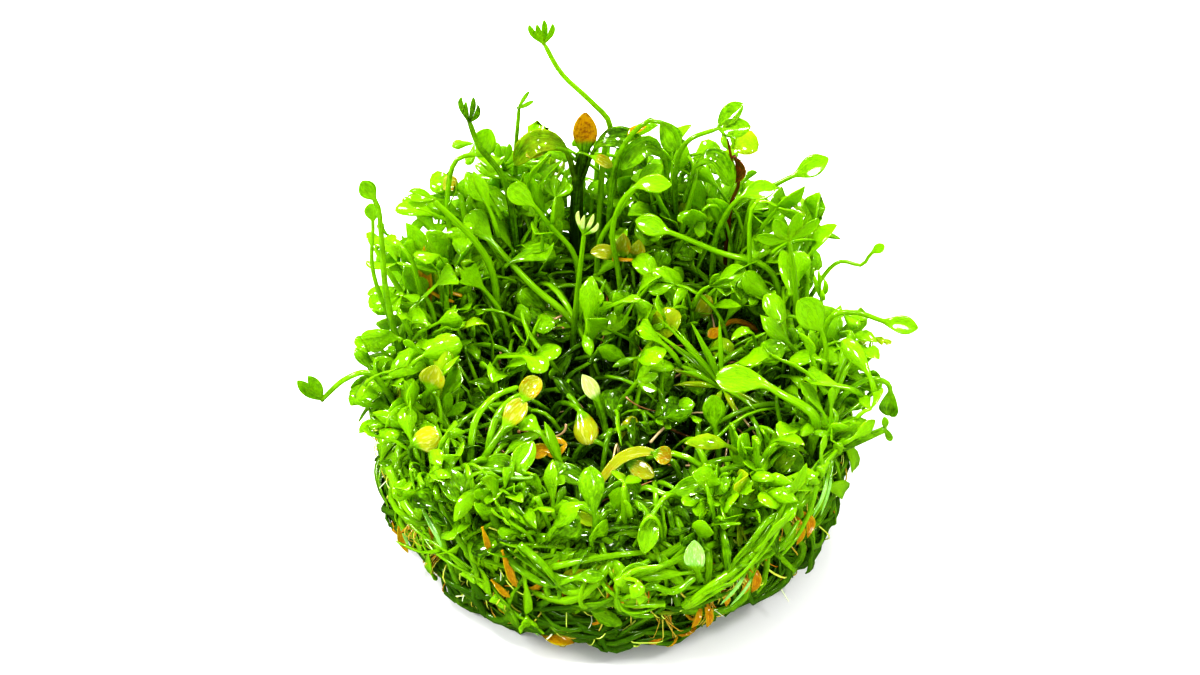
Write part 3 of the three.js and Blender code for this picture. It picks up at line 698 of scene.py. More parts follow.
def over_puck(random, bearing, run, heading, length, bend=0.0, proud=1.0, sunk=0.8, free=False):
    """Routes that wind over the puck's skin. They dive into it at both ends, or only where they start."""
    count = len(bearing)
    heading, length, bend, proud = (
        np.broadcast_to(v, count)[:, None] for v in (heading, length, bend, proud)
    )
    # A dead straight way would divide by 0
    bend = np.where(np.abs(bend) < 0.05, 0.05, bend)
    phase = any_way(random, (count, 1))
    sway = random.uniform(0, 0.035, (count, 1)) * length

    def route(share, lift=0.0):
        turned = heading + bend * share
        around = length / bend * (np.sin(turned) - np.sin(heading))
        climb = length / bend * (np.cos(heading) - np.cos(turned)) + sway * np.sin(9 * share + phase)
        shown = np.minimum(share, 0.5) if free else np.clip(share, 0, 1)
        height = proud * np.sqrt(np.sin(np.pi * shown)) - sunk + lift
        return skin(bearing[:, None] + around / MAT_RADIUS, np.maximum(run[:, None] + climb, 0.5), height)

    route.copies = count
    ends = np.ones((count, 1))
    route.face = unit(route(ends, 1.0) - route(ends))[:, 0]
    return route


def grow(
    growth, tube, route, face, radius, width=0.0, start=0.9, blade_share=0.5, widest=0.62, blunt=0.6,
    flat=1.0, cup=0.0, wave=0.0, notch=0.0, teeth=0.0, twist=0.0, taper=0.7, thickness=0.4, tone=0.5,
    wilt=0.0,
):
    """Grows limbs along routes. Each is a stalk that widens, after its start, into a blade."""
    faces = unit(np.atleast_2d(np.array(face, float)))
    values = [radius, width, start, widest, blunt, flat, cup, wave, notch, teeth, twist, taper, tone, wilt]
    values = [np.atleast_1d(np.array(v, float)) for v in values]
    copies = max([len(faces), getattr(route, "copies", 1)] + [len(v) for v in values])
    radius, width, start, widest, blunt, flat, cup, wave, notch, teeth, twist, taper, tone, wilt = (
        np.broadcast_to(v, copies)[:, None] for v in values
    )
    faces = np.broadcast_to(faces, (copies, 3))
    share = stops(tube.levels, start, blade_share)
    centres = route(share)
    along = unit(np.gradient(centres, axis=1))
    across = np.empty_like(along)
    across[:, -1] = unit(np.cross(along[:, -1], faces))
    for i in range(tube.levels - 2, -1, -1):
        last = across[:, i + 1]
        across[:, i] = unit(last - np.sum(last * along[:, i], -1, keepdims=True) * along[:, i])
    up = np.cross(across, along)
    angle = (twist * (1 - share))[..., None]
    across, up = across * np.cos(angle) + up * np.sin(angle), up * np.cos(angle) - across * np.sin(angle)
    q = np.clip((share - start) / (1 - start), 0, 1)
    stalk = radius * (FOOT_FLARE - (FOOT_FLARE - taper) * np.minimum(share / start, 1))
    outline = np.clip(np.sin(np.pi * q ** (math.log(0.5) / np.log(widest))), 0, 1) ** blunt
    half_width = np.hypot(stalk * np.sqrt(1 - q**3), width / 2 * outline)
    half_height = stalk * flat + (thickness / 2 - stalk * flat) * smooth(q / 0.35) * (width > 0)
    half_height = half_height * np.sqrt(1 - q**6)
    half_width[:, [0, -1]] = 0
    half_height[:, [0, -1]] = 0
    level = tube.level
    side = np.cos(tube.turn) * np.where((level == 0) | (level == tube.levels - 1), 0, 1)
    rise = np.sin(tube.turn)
    blade = smooth(q / 0.4)[:, level] * (width > 0)
    lift = cup * width / 2 * side**2 * outline[:, level] * blade
    lift = lift + wave * width * side * np.sin(9 * q[:, level] + 6 * tone) * blade
    at_tip = smooth((q[:, level] - 0.7) / 0.3)
    push = -notch * width * (1 - side**2) * at_tip - teeth * width * np.cos(tube.teeth * tube.turn) * at_tip
    points = (
        centres[:, level]
        + across[:, level] * (side * half_width[:, level])[..., None]
        + up[:, level] * (rise * half_height[:, level] + lift)[..., None]
        + along[:, level] * push[..., None]
    )
    shape = (copies, len(level))
    marks = np.stack([
        np.broadcast_to(tone, shape), share[:, level], np.broadcast_to(wilt, shape), np.ones(shape),
    ], -1)
    blades = np.stack([np.broadcast_to(side, shape), q[:, level], blade * np.ones(shape)], -1)
    growth.add(tube, points, marks, blades)


def grow_leaflets(growth, tube, base, axis, face, length, width, number, spread, claw=0.0, **look):
    """Spreads the leaflets of clover leaves from the ends of their stalks. A claw's leaflets close again."""
    base, axis, face = (np.atleast_2d(np.array(v, float)) for v in (base, axis, face))
    axis = unit(axis)
    side = unit(np.cross(axis, face))
    normal = np.cross(side, axis)
    length, spread, claw = (np.broadcast_to(v, len(base))[:, None] for v in (length, spread, claw))
    for i in range(number):
        angle = spread * (i / max(1, number - 1) - 0.5)
        apart = side * np.sin(angle) + normal * claw * (0.35 if i % 2 else -0.3)
        rise = axis * np.cos(angle)
        route = cubic(
            base - axis * 0.3,
            base + (rise * 0.3 + apart * (0.4 + 0.5 * claw)) * length,
            base + (rise * 0.8 + apart * (0.8 + 0.35 * claw)) * length,
            base + (rise + apart * (1 - 0.6 * claw) + normal * 0.06) * length,
        )
        grow(
            growth, tube, route, normal - apart * claw, radius=0.3, width=width, start=0.06,
            blade_share=0.85, **look,
        )


# Materials

class Value:
    """A number in a node tree. Arithmetic on it adds Math nodes."""

    def __init__(self, tree, socket):
        self.tree = tree
        self.socket = socket

    def maths(self, operation, *others, clamp=False):
        settings = {"operation": operation, "use_clamp": clamp}
        return self.tree.value("ShaderNodeMath", settings, dict(enumerate((self, *others))))

    def __add__(self, other):
        return self.maths("ADD", other)

    __radd__ = __add__

    def __sub__(self, other):
        return self.maths("SUBTRACT", other)

    def __rsub__(self, other):
        return self.tree.value("ShaderNodeMath", {"operation": "SUBTRACT"}, {0: other, 1: self})

    def __mul__(self, other):
        return self.maths("MULTIPLY", other)

    __rmul__ = __mul__

    def __truediv__(self, other):
        return self.maths("DIVIDE", other)

    def clamped(self):
        return self.maths("ADD", 0, clamp=True)

    def smoothed(self, low, high):
        settings = {"interpolation_type": "SMOOTHSTEP"}
        values = {"Value": self, "From Min": low, "From Max": high}
        return self.tree.value("ShaderNodeMapRange", settings, values)


class Tree:
    """A material's node tree."""

    def __init__(self, name):
        self.material = bpy.data.materials.new(name)
        self.material.use_nodes = True
        self.nodes = self.material.node_tree.nodes
        self.links = self.material.node_tree.links
        self.nodes.clear()

    def node(self, kind, settings=None, values=None):
        made = self.nodes.new(kind)
        for name, setting in (settings or {}).items():
            setattr(made, name, setting)
        for key, value in (values or {}).items():
            socket = made.inputs[key]
            if isinstance(value, Value):
                self.links.new(value.socket, socket)
            elif isinstance(value, bpy.types.NodeSocket):
                self.links.new(value, socket)
            else:
                socket.default_value = value
        return made

    def value(self, kind, settings=None, values=None):
        return Value(self, self.node(kind, settings, values).outputs[0])

    def mix(self, factor, a, b):
        settings = {"data_type": "RGBA", "clamp_factor": True}
        ends = [(*c, 1) if isinstance(c, (tuple, list)) and len(c) == 3 else c for c in (a, b)]
        return self.node("ShaderNodeMix", settings, {0: factor, 6: ends[0], 7: ends[1]}).outputs[2]

    def noise(self, place, scale, detail=2.0, roughness=0.5):
        values = {"Vector": place, "Scale": scale, "Detail": detail, "Roughness": roughness}
        return self.value("ShaderNodeTexNoise", {}, values)

    def streaks(self, across, along, seed):
        """Noise that runs along a limb, from the marks of its points."""
        spot = self.node("ShaderNodeCombineXYZ", {}, {0: across * 4, 1: along, 2: seed * 40})
        return self.noise(spot.outputs[0], 1.6, 3, 0.6)

    def parts(self, name):
        """The three numbers of an attribute of the piece."""
        vector = self.node("ShaderNodeAttribute", {"attribute_name": name}).outputs["Vector"]
        split = self.node("ShaderNodeSeparateXYZ", {}, {0: vector})
        return [Value(self, out) for out in split.outputs]

    def place(self):
        """Object coordinates."""
        return self.node("ShaderNodeTexCoord").outputs["Object"]

    def height(self, place):
        """Height above the floor."""
        return Value(self, self.node("ShaderNodeSeparateXYZ", {}, {0: place}).outputs[2])

    def finish(self, colour, roughness, height, relief, **constants):
        bump = self.node("ShaderNodeBump", {}, {"Height": height, "Strength": 0.6, "Distance": relief * MM})
        values = {"Base Color": colour, "Roughness": roughness, "Normal": bump.outputs[0], **constants}
        surface = self.node("ShaderNodeBsdfPrincipled", {}, values)
        self.node("ShaderNodeOutputMaterial", {}, {"Surface": surface.outputs[0]})
        return self.material


# Gloss of leaves, of stems on the side of the puck and of the puck itself, and the depth of living growth
WET = {"Coat Weight": 1.0, "Coat Roughness": 0.1, "Coat IOR": 1.55, "IOR": 1.35, "Specular IOR Level": 0.08}
MOIST = {**WET, "Coat Weight": 0.6}
DAMP = {"Coat Weight": 0.4, "Coat Roughness": 0.15, "Coat IOR": 1.4, "IOR": 1.35, "Specular IOR Level": 0.2}
FLESH = {"Subsurface Weight": 0.22, "Subsurface Radius": (0.6, 1.0, 0.1), "Subsurface Scale": 1.0 * MM}


def scaled(colour, share):
    """A colour made darker or brighter."""
    return tuple(share * c for c in colour)


def green_material(
    name, deep, old, young, wilted, low, high, fades=None, highlight_streak_share=0.8, streaky=7.0, coat=WET,
):
    """Living growth, from deep to old to young as its tone and height rise; the darkening with lower height
    and towards a limb's foot is painted shade. A fading leaf's blade turns, with pale streaks that are
    painted highlight.
    """
    tree = Tree(name)
    tone, along, wilt = tree.parts("growth")
    across, reach, blade = tree.parts("blade")
    place = tree.place()
    mottle = tree.noise(place, 260, 3)
    flecks = tree.noise(place, 1100, 4, 0.7)
    grain = tree.noise(place, 2600, 2)
    streaks = tree.streaks(across, reach + along * 4, tone)
    ribs = (0.5 - streaks).maths("ABSOLUTE")
    ribs = (1 - ribs.smoothed(0.0, 0.05)) * blade
    lines = ((streaks - 0.5) * 5).clamped() * (1 - blade)
    side = across.maths("ABSOLUTE")
    midrib = (1 - side.smoothed(0.03, 0.22)) * blade * (1 - reach * 0.8)
    # Limbs are a little darker towards their sides: partly a leaf's darker border, partly painted shade of
    # the dark outlines between limbs
    edge = side.smoothed(0.55, 1.0)
    # Painted shade: growth is darker the lower it stands within the given heights and a little darker towards
    # the foot of its limb, where shade falls in the clump
    height = tree.height(place).smoothed(low * MM, high * MM)
    changes = (mottle - 0.5) * 0.8 + (flecks - 0.5) * 0.8 + (streaks - 0.5) * 1.1 - edge * 0.1
    freshness_and_light = (tone * 0.95 + height * 0.5 + changes + along * 0.12 - 0.36).clamped()
    colour = tree.mix(freshness_and_light.smoothed(-0.1, 0.5), deep, old)
    colour = tree.mix(freshness_and_light.smoothed(0.2, 0.85), colour, young)
    colour = tree.mix(ribs * 0.3 + lines * 0.5, colour, scaled(old, 0.4))
    colour = tree.mix(midrib * 0.35, colour, young)
    if fades:
        turned = ((reach * 1.4 + (mottle - 0.5) * 0.8) * blade).smoothed(0.1, 0.55)
        # Pale streaks along the blade of a fading leaf are painted highlight, the wet shine between its ribs
        pale = ((streaks - 0.52) * 7 + (flecks - 0.5)).clamped() * highlight_streak_share
        colour = tree.mix(turned, colour, tree.mix(pale, fades, tuple(min(1, 0.3 + c) for c in fades)))
        tinted = (mottle - 0.62) * 4 + (0.46 - streaks) * streaky + edge * 0.3 + wilt * 0.7
        tinted = tinted + (flecks - 0.5) * (9 - streaky)
        tinted = tinted.clamped() * turned * 0.75
        colour = tree.mix(tinted, colour, wilted)
    else:
        gone = (wilt * 1.6 + (mottle - 0.62) * wilt * 4 + edge * wilt * 0.5).clamped() * (0.3 + blade * 0.7)
        colour = tree.mix(gone, colour, wilted)
    relief = ribs * -0.3 + grain * 0.3 + flecks * 0.5 + mottle * 0.5 + streaks * 1.6
    return tree.finish(colour, 0.28 + grain * 0.2, relief, 0.3, **coat, **FLESH)


def mat_material(name, deep, mid, brown):
    """The knitted body of the puck."""
    tree = Tree(name)
    place = tree.place()
    stretched = tree.node("ShaderNodeMapping", {}, {"Vector": place, "Scale": (1.0, 1.0, 5.0)}).outputs[0]
    fibres = tree.noise(stretched, 330, 4, 0.65)
    clumps = tree.noise(place, 110, 3)
    grain = tree.noise(place, 1800, 2)
    low = 1 - (tree.height(place) / (14 * MM)).smoothed(0.0, 1.0)
    colour = tree.mix((fibres * 4 - 1.6 + (clumps - 0.5) * 0.8).clamped() * (0.15 + low * 0.75), deep, mid)
    colour = tree.mix(((clumps - 0.55) * 5 * low).clamped() * 0.8, colour, brown)
    return tree.finish(colour, 0.3 + grain * 0.3, fibres * 1.5 + grain * 0.3, 1.0, **DAMP)


def root_material(name, pale, warm):
    """Hair roots, from pale to the warm brown of old ones."""
    tree = Tree(name)
    tone, _, wilt = tree.parts("growth")
    grain = tree.noise(tree.place(), 1400, 2)
    colour = tree.mix((tone * 2 - 1).clamped(), pale, ROOT_TIP)
    colour = tree.mix((wilt + (grain - 0.5) * 0.5).clamped(), colour, warm)
    return tree.finish(colour, 0.35 + grain * 0.2, grain, 0.1, **WET)


def withered_material(name, dark, bright, edge_colour):
    """Dead leaves, blotched, with browner edges."""
    tree = Tree(name)
    tone, along, _ = tree.parts("growth")
    across, reach, blade = tree.parts("blade")
    place = tree.place()
    blotch = tree.noise(place, 420, 4, 0.6)
    fine = tree.noise(place, 1600, 2)
    streaks = tree.streaks(across, reach + along * 4, tone)
    veins = (1 - (0.5 - streaks).maths("ABSOLUTE").smoothed(0.0, 0.05)) * blade
    colour = tree.mix((tone + (blotch - 0.5) * 1.4 + (streaks - 0.5) * 3).clamped(), dark, bright)
    colour = tree.mix(across.maths("ABSOLUTE").smoothed(0.6, 1.0) * blade * 0.5, colour, edge_colour)
    colour = tree.mix(veins * 0.3, colour, scaled(dark, 0.5))
    return tree.finish(colour, 0.3 + blotch * 0.3, veins * -0.5 + fine * 0.6 + blotch, 0.3, **WET, **FLESH)


# Panel settings

def number(name, description, default):
    return IntProperty(name=name, description=description, default=default, min=1)


def colour(name, description, default):
    return FloatVectorProperty(
        name=name, description=description, subtype="COLOR", size=3, default=default, min=0, max=1,
    )


class ClumpSettings(bpy.types.PropertyGroup):
    """Sizes and numbers that shape the clump."""

    seed: IntProperty(name="Seed", description="Changes every random draw", default=11, min=0)
    stalk_radius: FloatProperty(
        name="Stalk radius", description="Half the thickness of a short frond's stalk",
        default=STALK_RADIUS * MM, unit="LENGTH", precision=5,
    )
    rim_fronds: number("Rim fronds", "Short fronds of each plantlet on the rim", 84)
    inner_fronds: number("Inner fronds", "Short fronds of each plantlet in the dish", 64)
    side_strands: number("Side strands", "Thin stems that run round the side of the puck", 760)
    rim_strands: number("Rim strands", "Flat stems that cross and loop over the rim", 420)
    rim_arches: number("Rim arches", "Stems that arch up from the rim", 400)
    wall_leaves: number("Wall leaves", "Leaves pressed against the side and the rim", 210)
    lying_leaves: number("Lying leaves", "Glossy leaves that lie over the top of the puck", 170)
    dish_strands: number("Dish strands", "Stems that lie over the top of the puck", 420)
    hair_roots: number("Hair roots", "Fine pale roots", 360)
    dead_scraps: number("Dead scraps", "Small dead leaves caught in the puck", 90)
    dish_litter: number("Dish litter", "Dry straws that lie in the dish", 60)
    sprout_tufts: number("Sprout tufts", "Tufts of the tiniest sprouts in the dish", 70)


class ColourSettings(bpy.types.PropertyGroup):
    """Colours of the growth."""

    young: colour("Young", "Fresh lime green of young growth", (0.235, 0.51, 0.0))
    old: colour("Old", "Full green of grown leaves", (0.105, 0.26, 0.0))
    # Deep is the dark green that painted shade turns growth to, low down, in the dish and between stems; made
    # lighter, it is also the dark of the puck's weave
    deep: colour("Deep", "Wet dark green of shaded growth", (0.016, 0.044, 0.0))
    # Olive is what stems low on the side turn to: old stems, with painted shade of the overhang
    olive: colour("Olive", "Old stems low on the side of the puck", (0.045, 0.125, 0.0))
    yellow: colour("Yellow", "Fading leaves", (0.38, 0.42, 0.008))
    mint: colour("Mint", "Pale green leaf and straps at the front", (0.30, 0.66, 0.12))
    amber: colour("Amber", "Leaves that have just died", (0.56, 0.34, 0.004))
    pale: colour("Pale", "Downy buds", (0.62, 0.78, 0.24))
    orange: colour("Orange", "Dead leaves", (0.42, 0.16, 0.003))
    brown: colour("Brown", "Dead stalks and old roots", (0.22, 0.06, 0.006))
    straw: colour("Straw", "Dry straws and root hairs", (0.74, 0.56, 0.30))


class StageSettings(bpy.types.PropertyGroup):
    """Floor, light and camera."""

    floor_colour: colour("Floor", "Pale plain floor", (0.86, 0.86, 0.86))
    sky: FloatProperty(name="Sky", description="Strength of the even light all round", default=0.9)
    key: FloatProperty(name="Key light", description="Power of the main light", default=2.65, unit="POWER")
    lens: FloatProperty(
        name="Lens", description="Focal length of the camera in millimetres", default=68.4,
        subtype="DISTANCE_CAMERA",
    )


def settings():
    return bpy.context.scene.clover_clump


def colours():
    chosen = bpy.context.scene.clover_colours
    return {name: tuple(getattr(chosen, name)) for name in ColourSettings.__annotations__}


@functools.cache
def materials():
    """The finish of each kind of growth. The names of the record's slots are among them."""
    c = colours()
    greens = (c["deep"], c["old"], c["young"])
    return {
        # Fresh leaf, shaded leaf, wall growth and runner share one set of greens with painted shade over
        # different heights, so shaded leaf is a shaded copy; wall growth is a darker copy with olive, painted
        # shade for the side of the puck
        "fresh_leaf": green_material("fresh leaf", *greens, c["yellow"], *ON_RIM),
        "shaded_leaf": green_material("shaded leaf", *greens, c["yellow"], *IN_DISH),
        "wall_growth": green_material(
            "wall growth", c["olive"], scaled(c["old"], 0.8), scaled(c["young"], 0.88), c["yellow"],
            *ON_WALL, coat=MOIST,
        ),
        "runner": green_material("runner", *greens, c["yellow"], *ALL_FRESH),
        "pale_bud": green_material("pale bud", *greens, c["yellow"], *ON_RIM, fades=c["pale"]),
        "yellow_leaf": green_material(
            "yellow leaf", *greens, c["orange"], *ON_RIM, fades=c["yellow"], highlight_streak_share=0.45,
        ),
        "mint_leaf": green_material("mint leaf", *greens, c["young"], *ON_RIM, fades=c["mint"]),
        "orange_leaf": green_material(
            "orange leaf", *greens, c["brown"], *AT_BACK, fades=RUST, highlight_streak_share=0.0, streaky=1.5,
        ),
        "withered": withered_material("withered", c["orange"], c["amber"], c["yellow"]),
        "dead_stalk": withered_material("dead stalk", scaled(c["brown"], 0.3), c["brown"], c["orange"]),
        "root_mat": mat_material("root mat", scaled(c["deep"], 1.6), WEAVE, c["brown"]),
        "roots": root_material("hair roots", FRESH_ROOT, c["orange"]),
        "straws": root_material("dry straws", c["straw"], c["brown"]),
    }


def placed(piece, slot, *nodes, material=None):
    """Gives a finished piece its material, its body and what it stands for."""
    piece.data.materials.append(materials()[material or slot])
    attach(piece, "root")
    if nodes:
        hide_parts(*nodes)


def random_for(name):
    """A repeatable stream of draws for one piece."""
    return np.random.default_rng([settings().seed, *name.encode()])


# The plantlets

def cushion_places(ring):
    """Where each plantlet of a ring grows: name, bearing, half its arc, distance from the axis and depth."""
    number, turned, distance, depth = CUSHIONS[ring]
    for k in range(number):
        bearing = 2 * math.pi * (k + turned) / number
        yield f"plantlet_{ring}_{k + 1}", bearing, math.pi / number, distance, depth


def rooted(stalk):
    """A stalk's points, from a root in the puck."""
    x, y = stalk[0]
    distance = math.hypot(x, y)
    inside = min(distance, MAT_RADIUS - FROND_INSET) / max(distance, 1e-6)
    height = float(mat_top(distance * inside)) - ROOT_DEPTH
    return [(x * inside, y * inside, height), *stalk[1:]]


@functools.cache
def frond_points():
    """Points along the standing fronds, above their feet, and how far the way in front of each is clear."""
    rows, clear = [], []
    for spec in (*FRONDS.values(), *WITHERED.values()):
        points = [*rooted(spec["stalk"]), *([spec["tip"]] if "tip" in spec else [])]
        route = smooth_route(points)
        rows.append(route(np.arange(0.24, 1.01, 2.0 / route.length)))
        clear.append(np.full(len(rows[-1]), spec.get("clear", CLEAR_WAY)))
    for tip in SPIKY_TUFT["spikes"]:
        rows.append(np.linspace(SPIKY_TUFT["top"], tip, 6))
        clear.append(np.full(6, CLEAR_WAY_OF_TUFT))
    return np.concatenate(rows), np.concatenate(clear)


def crowds_fronds(points, room):
    """Whether limbs come close to the standing fronds or between them and the front light."""
    fronds, clear = frond_points()
    gaps = points[:, :, None] - fronds
    ahead = np.clip(gaps @ np.array(FRONT_LIGHT), 0, clear)
    apart = np.linalg.norm(gaps - ahead[..., None] * FRONT_LIGHT, axis=-1)
    return (apart.min(-1) < room).any(-1)


# Kinds of single leaf: ranges of width and length, of where it is widest, how blunt and how deeply notched
LEAF_KINDS = (
    ("spoon", (3.6, 5.6), (5.5, 9.0), (0.56, 0.68), (0.55, 0.85), (0.0, 0.05)),
    ("lens", (2.0, 3.4), (6.0, 9.5), (0.46, 0.58), (0.8, 1.15), (0.0, 0.0)),
    ("toothed", (3.4, 4.8), (5.0, 7.0), (0.74, 0.8), (0.4, 0.5), (0.0, 0.0)),
    ("bud", (1.3, 2.2), (3.0, 5.0), (0.5, 0.6), (0.6, 0.9), (0.0, 0.0)),
)

# Kinds of divided leaf, and bare stalks: number of leaflets, and ranges of their spread in degrees and width
DIVIDED_KINDS = (
    ("clover", 4, (60, 110), (1.2, 1.9)),
    ("pair", 2, (35, 90), (2.0, 3.0)),
    ("bare", 0, (0, 1), (0, 1)),
)

# How often each kind of short frond grows
RIM_KINDS = dict(spoon=0.44, lens=0.22, toothed=0.04, bud=0.07, clover=0.03, pair=0.1, bare=0.1)
FRONT_KINDS = dict(spoon=0.27, lens=0.27, toothed=0.02, bud=0.1, clover=0.02, pair=0.07, bare=0.25)
INNER_KINDS = dict(spoon=0.31, lens=0.24, toothed=0.02, bud=0.08, clover=0.02, pair=0.08, bare=0.25)


def short_fronds(
    growth, random, count, place, tops, shade, spread, kinds, level=1.0, shoots=0.6, large=1.0,
):
    """Grows a tuft of short fronds, in sheaves, and side shoots from their stalks."""
    bearing, half_arc, distance, depth = place
    sheaf = random.integers(0, max(3, count // 6), count)
    turn = (bearing + half_arc * random.uniform(-1.05, 1.05, count))[sheaf] + random.normal(0, 0.05, count)
    far = (distance + depth * random.uniform(-0.95, 0.8, count))[sheaf] + random.normal(0, 1.5, count)
    foot_far = np.minimum(far, MAT_RADIUS - SHORT_FROND_INSET)
    foot = polar(turn, foot_far, mat_top(foot_far) - ROOT_DEPTH)
    height = tops[0] + (tops[1] - tops[0]) * random.uniform(0, 1, count) ** level
    tall = (height - foot[:, 2])[:, None]
    way = polar(any_way(random, count)[sheaf] + random.normal(0, 0.9, count), 1.0, 0.0)
    lean = tall * random.uniform(0.3, 1.5, (count, 1))
    lean = np.minimum(lean, random.uniform(0.4, 1.1, (count, 1)) * spread)
    tip = foot + way * lean + polar(turn, 1.0, 0.0) * (far - foot_far)[:, None] + UP * tall
    heading = unit(way + UP * random.uniform(-0.6, 1.3, (count, 1)) + random.normal(0, 0.3, (count, 3)))
    knee = foot + UP * tall * random.uniform(0.3, 0.95, (count, 1))
    knee = knee + way * lean * random.uniform(-0.5, 0.4, (count, 1))
    corners = np.stack([foot, knee, tip - heading * np.maximum(0.45 * tall, 4.5), tip], 1)
    parent = random.integers(0, count, round(count * shoots))
    share = random.uniform(0.2, 0.75, (len(parent), 1))
    foot = bezier(corners[parent])(share)[:, 0]
    way = unit(random.normal(0, 1, (len(parent), 3)) + 0.25 * UP)
    size = random.uniform(4, 11, (len(parent), 1))
    sprouting = np.stack([
        foot, foot + UP * size * 0.3 + way * size * 0.2, foot + UP * size * 0.25 + way * size * 0.6,
        foot + UP * size * random.uniform(0, 0.4, (len(parent), 1)) + way * size,
    ], 1)
    corners = np.concatenate([corners, sprouting])
    corners[..., 2] = np.maximum(corners[..., 2], mat_top(from_axis(corners)) - 1)
    heading = np.concatenate([heading, way])
    reach = np.linalg.norm(corners[..., :2], axis=-1, keepdims=True)
    corners[..., :2] *= np.minimum(1, GROWTH_REACH / np.maximum(reach, 1))
    clear = ~crowds_fronds(bezier(corners)(np.array([[0.55, 0.8, 0.95]])), [1.0, 2.1, 2.0])
    corners, heading = corners[clear], heading[clear]
    height = corners[:, 3, 2]
    count = len(corners)
    length = np.linalg.norm(np.diff(corners, axis=1), axis=-1).sum(1)
    face = unit(UP * 0.8 - heading * 0.4 + random.normal(0, 0.45, (count, 3)) - [0, 0.2, 0])
    # Painted shade and light: fronds are darker the lower their tips stand, brighter outermost and as bright
    # as the given shade range allows, over a random tone
    share = np.clip((height - tops[0]) / (tops[1] - tops[0]), 0, 1)
    outer_light = smooth((from_axis(corners[:, 3]) - 34) / 8)
    tone = shade[0] + (shade[1] - shade[0]) * share + 0.22 * outer_light + random.normal(0, 0.17, count)
    tone = np.clip(tone, 0, 1)
    radius = settings().stalk_radius / MM * random.uniform(0.65, 1.15, count)
    wilt = np.where(random.uniform(0, 1, count) < 0.03, random.uniform(0.15, 0.6, count), 0)
    kind = random.choice(list(kinds), count, p=list(kinds.values()))
    for name, width, blade, widest, blunt, notch in LEAF_KINDS:
        chosen = kind == name
        if not chosen.any():
            continue
        number = chosen.sum()
        toothed = name == "toothed"
        blade_length = random.uniform(*blade, number) * large
        grow(
            growth, blank(12, 9) if toothed else blank(6, 11), bezier(corners[chosen]), face[chosen],
            radius[chosen], width=random.uniform(*width, number) * large,
            start=np.clip(1 - blade_length / length[chosen], 0.12, 0.9), blade_share=0.55,
            widest=random.uniform(*widest, number), blunt=random.uniform(*blunt, number),
            notch=random.uniform(*notch, number), teeth=0.09 * toothed,
            cup=random.uniform(-0.4, 1.0, number), wave=random.uniform(-0.07, 0.07, number),
            flat=0.75, tone=tone[chosen], wilt=wilt[chosen],
        )
    for name, leaflets, fan, width in DIVIDED_KINDS:
        chosen = kind == name
        if not chosen.any():
            continue
        number = chosen.sum()
        leaf = random.uniform(3.6, 5.6, number)[:, None]
        ends = corners[chosen].copy()
        axis = unit(ends[:, 3] - ends[:, 2])
        ends[:, 3] -= axis * leaf
        ends[:, 2] -= axis * leaf * 0.8
        grow(
            growth, blank(6, 11), bezier(ends), face[chosen], radius[chosen], start=0.9, blade_share=0.2,
            flat=0.75, tone=tone[chosen],
        )
        if leaflets:
            grow_leaflets(
                growth, blank(6, 9), ends[:, 3], axis, face[chosen], leaf[:, 0],
                random.uniform(*width, number), leaflets, np.radians(random.uniform(*fan, number)),
                claw=random.uniform(0, 0.8, number), widest=0.58, blunt=0.75,
                cup=random.uniform(0, 0.8, number), tone=tone[chosen], wilt=wilt[chosen],
            )


class CLOVER_OT_rim_plantlets(bpy.types.Operator):
    """Grow the plantlets round the rim of the puck"""

    bl_idname = "clover.rim_plantlets"
    bl_label = "Rim plantlets"

    def execute(self, context):
        for name, *place in cushion_places("rim"):
            growth = Growth()
            top = float(canopy_height(place[0]))
            backward = math.sin(place[0])
            count = round(settings().rim_fronds * (0.95 + 0.4 * backward))
            # The tone range called shade is higher towards the back: painted light for the shaded rear of the
            # clump
            short_fronds(
                growth, random_for(name), count, place, tops=(MAT_RIM_HEIGHT + 1.5, top + 1.5),
                shade=(0.45 + 0.2 * backward, 0.88 + 0.12 * backward),
                spread=12 + 4 * backward, kinds=FRONT_KINDS if backward < -0.3 else RIM_KINDS,
                level=1 - 0.15 * backward, shoots=1.0 + 0.4 * backward, large=1.05 + 0.12 * backward,
            )
            placed(growth.made("leaves_" + name), "fresh_leaf", name)
        return {"FINISHED"}


class CLOVER_OT_inner_plantlets(bpy.types.Operator):
    """Grow the plantlets in the dish of the puck"""

    bl_idname = "clover.inner_plantlets"
    bl_label = "Inner plantlets"

    def execute(self, context):
        for name, bearing, half_arc, distance, depth in cushion_places("inner"):
            growth = Growth()
            behind = math.sin(bearing) > 0
            count = round(settings().inner_fronds * (1.4 if behind else 1))
            place = (bearing, half_arc, distance + (2 if behind else 0.5), depth + 5)
            # Plantlets behind get a brighter tone range, painted light, and those in front a darker one,
            # painted shade
            short_fronds(
                growth, random_for(name), count, place, tops=(18.5, 40 if behind else 34),
                shade=(0.35 * behind, 0.8 + 0.2 * behind), spread=13,
                kinds=RIM_KINDS if behind else INNER_KINDS, level=1.1 if behind else 1.5,
                large=1.1 if behind else 0.95,
            )
            placed(growth.made("leaves_" + name), "shaded_leaf", name)
        return {"FINISHED"}


# The puck

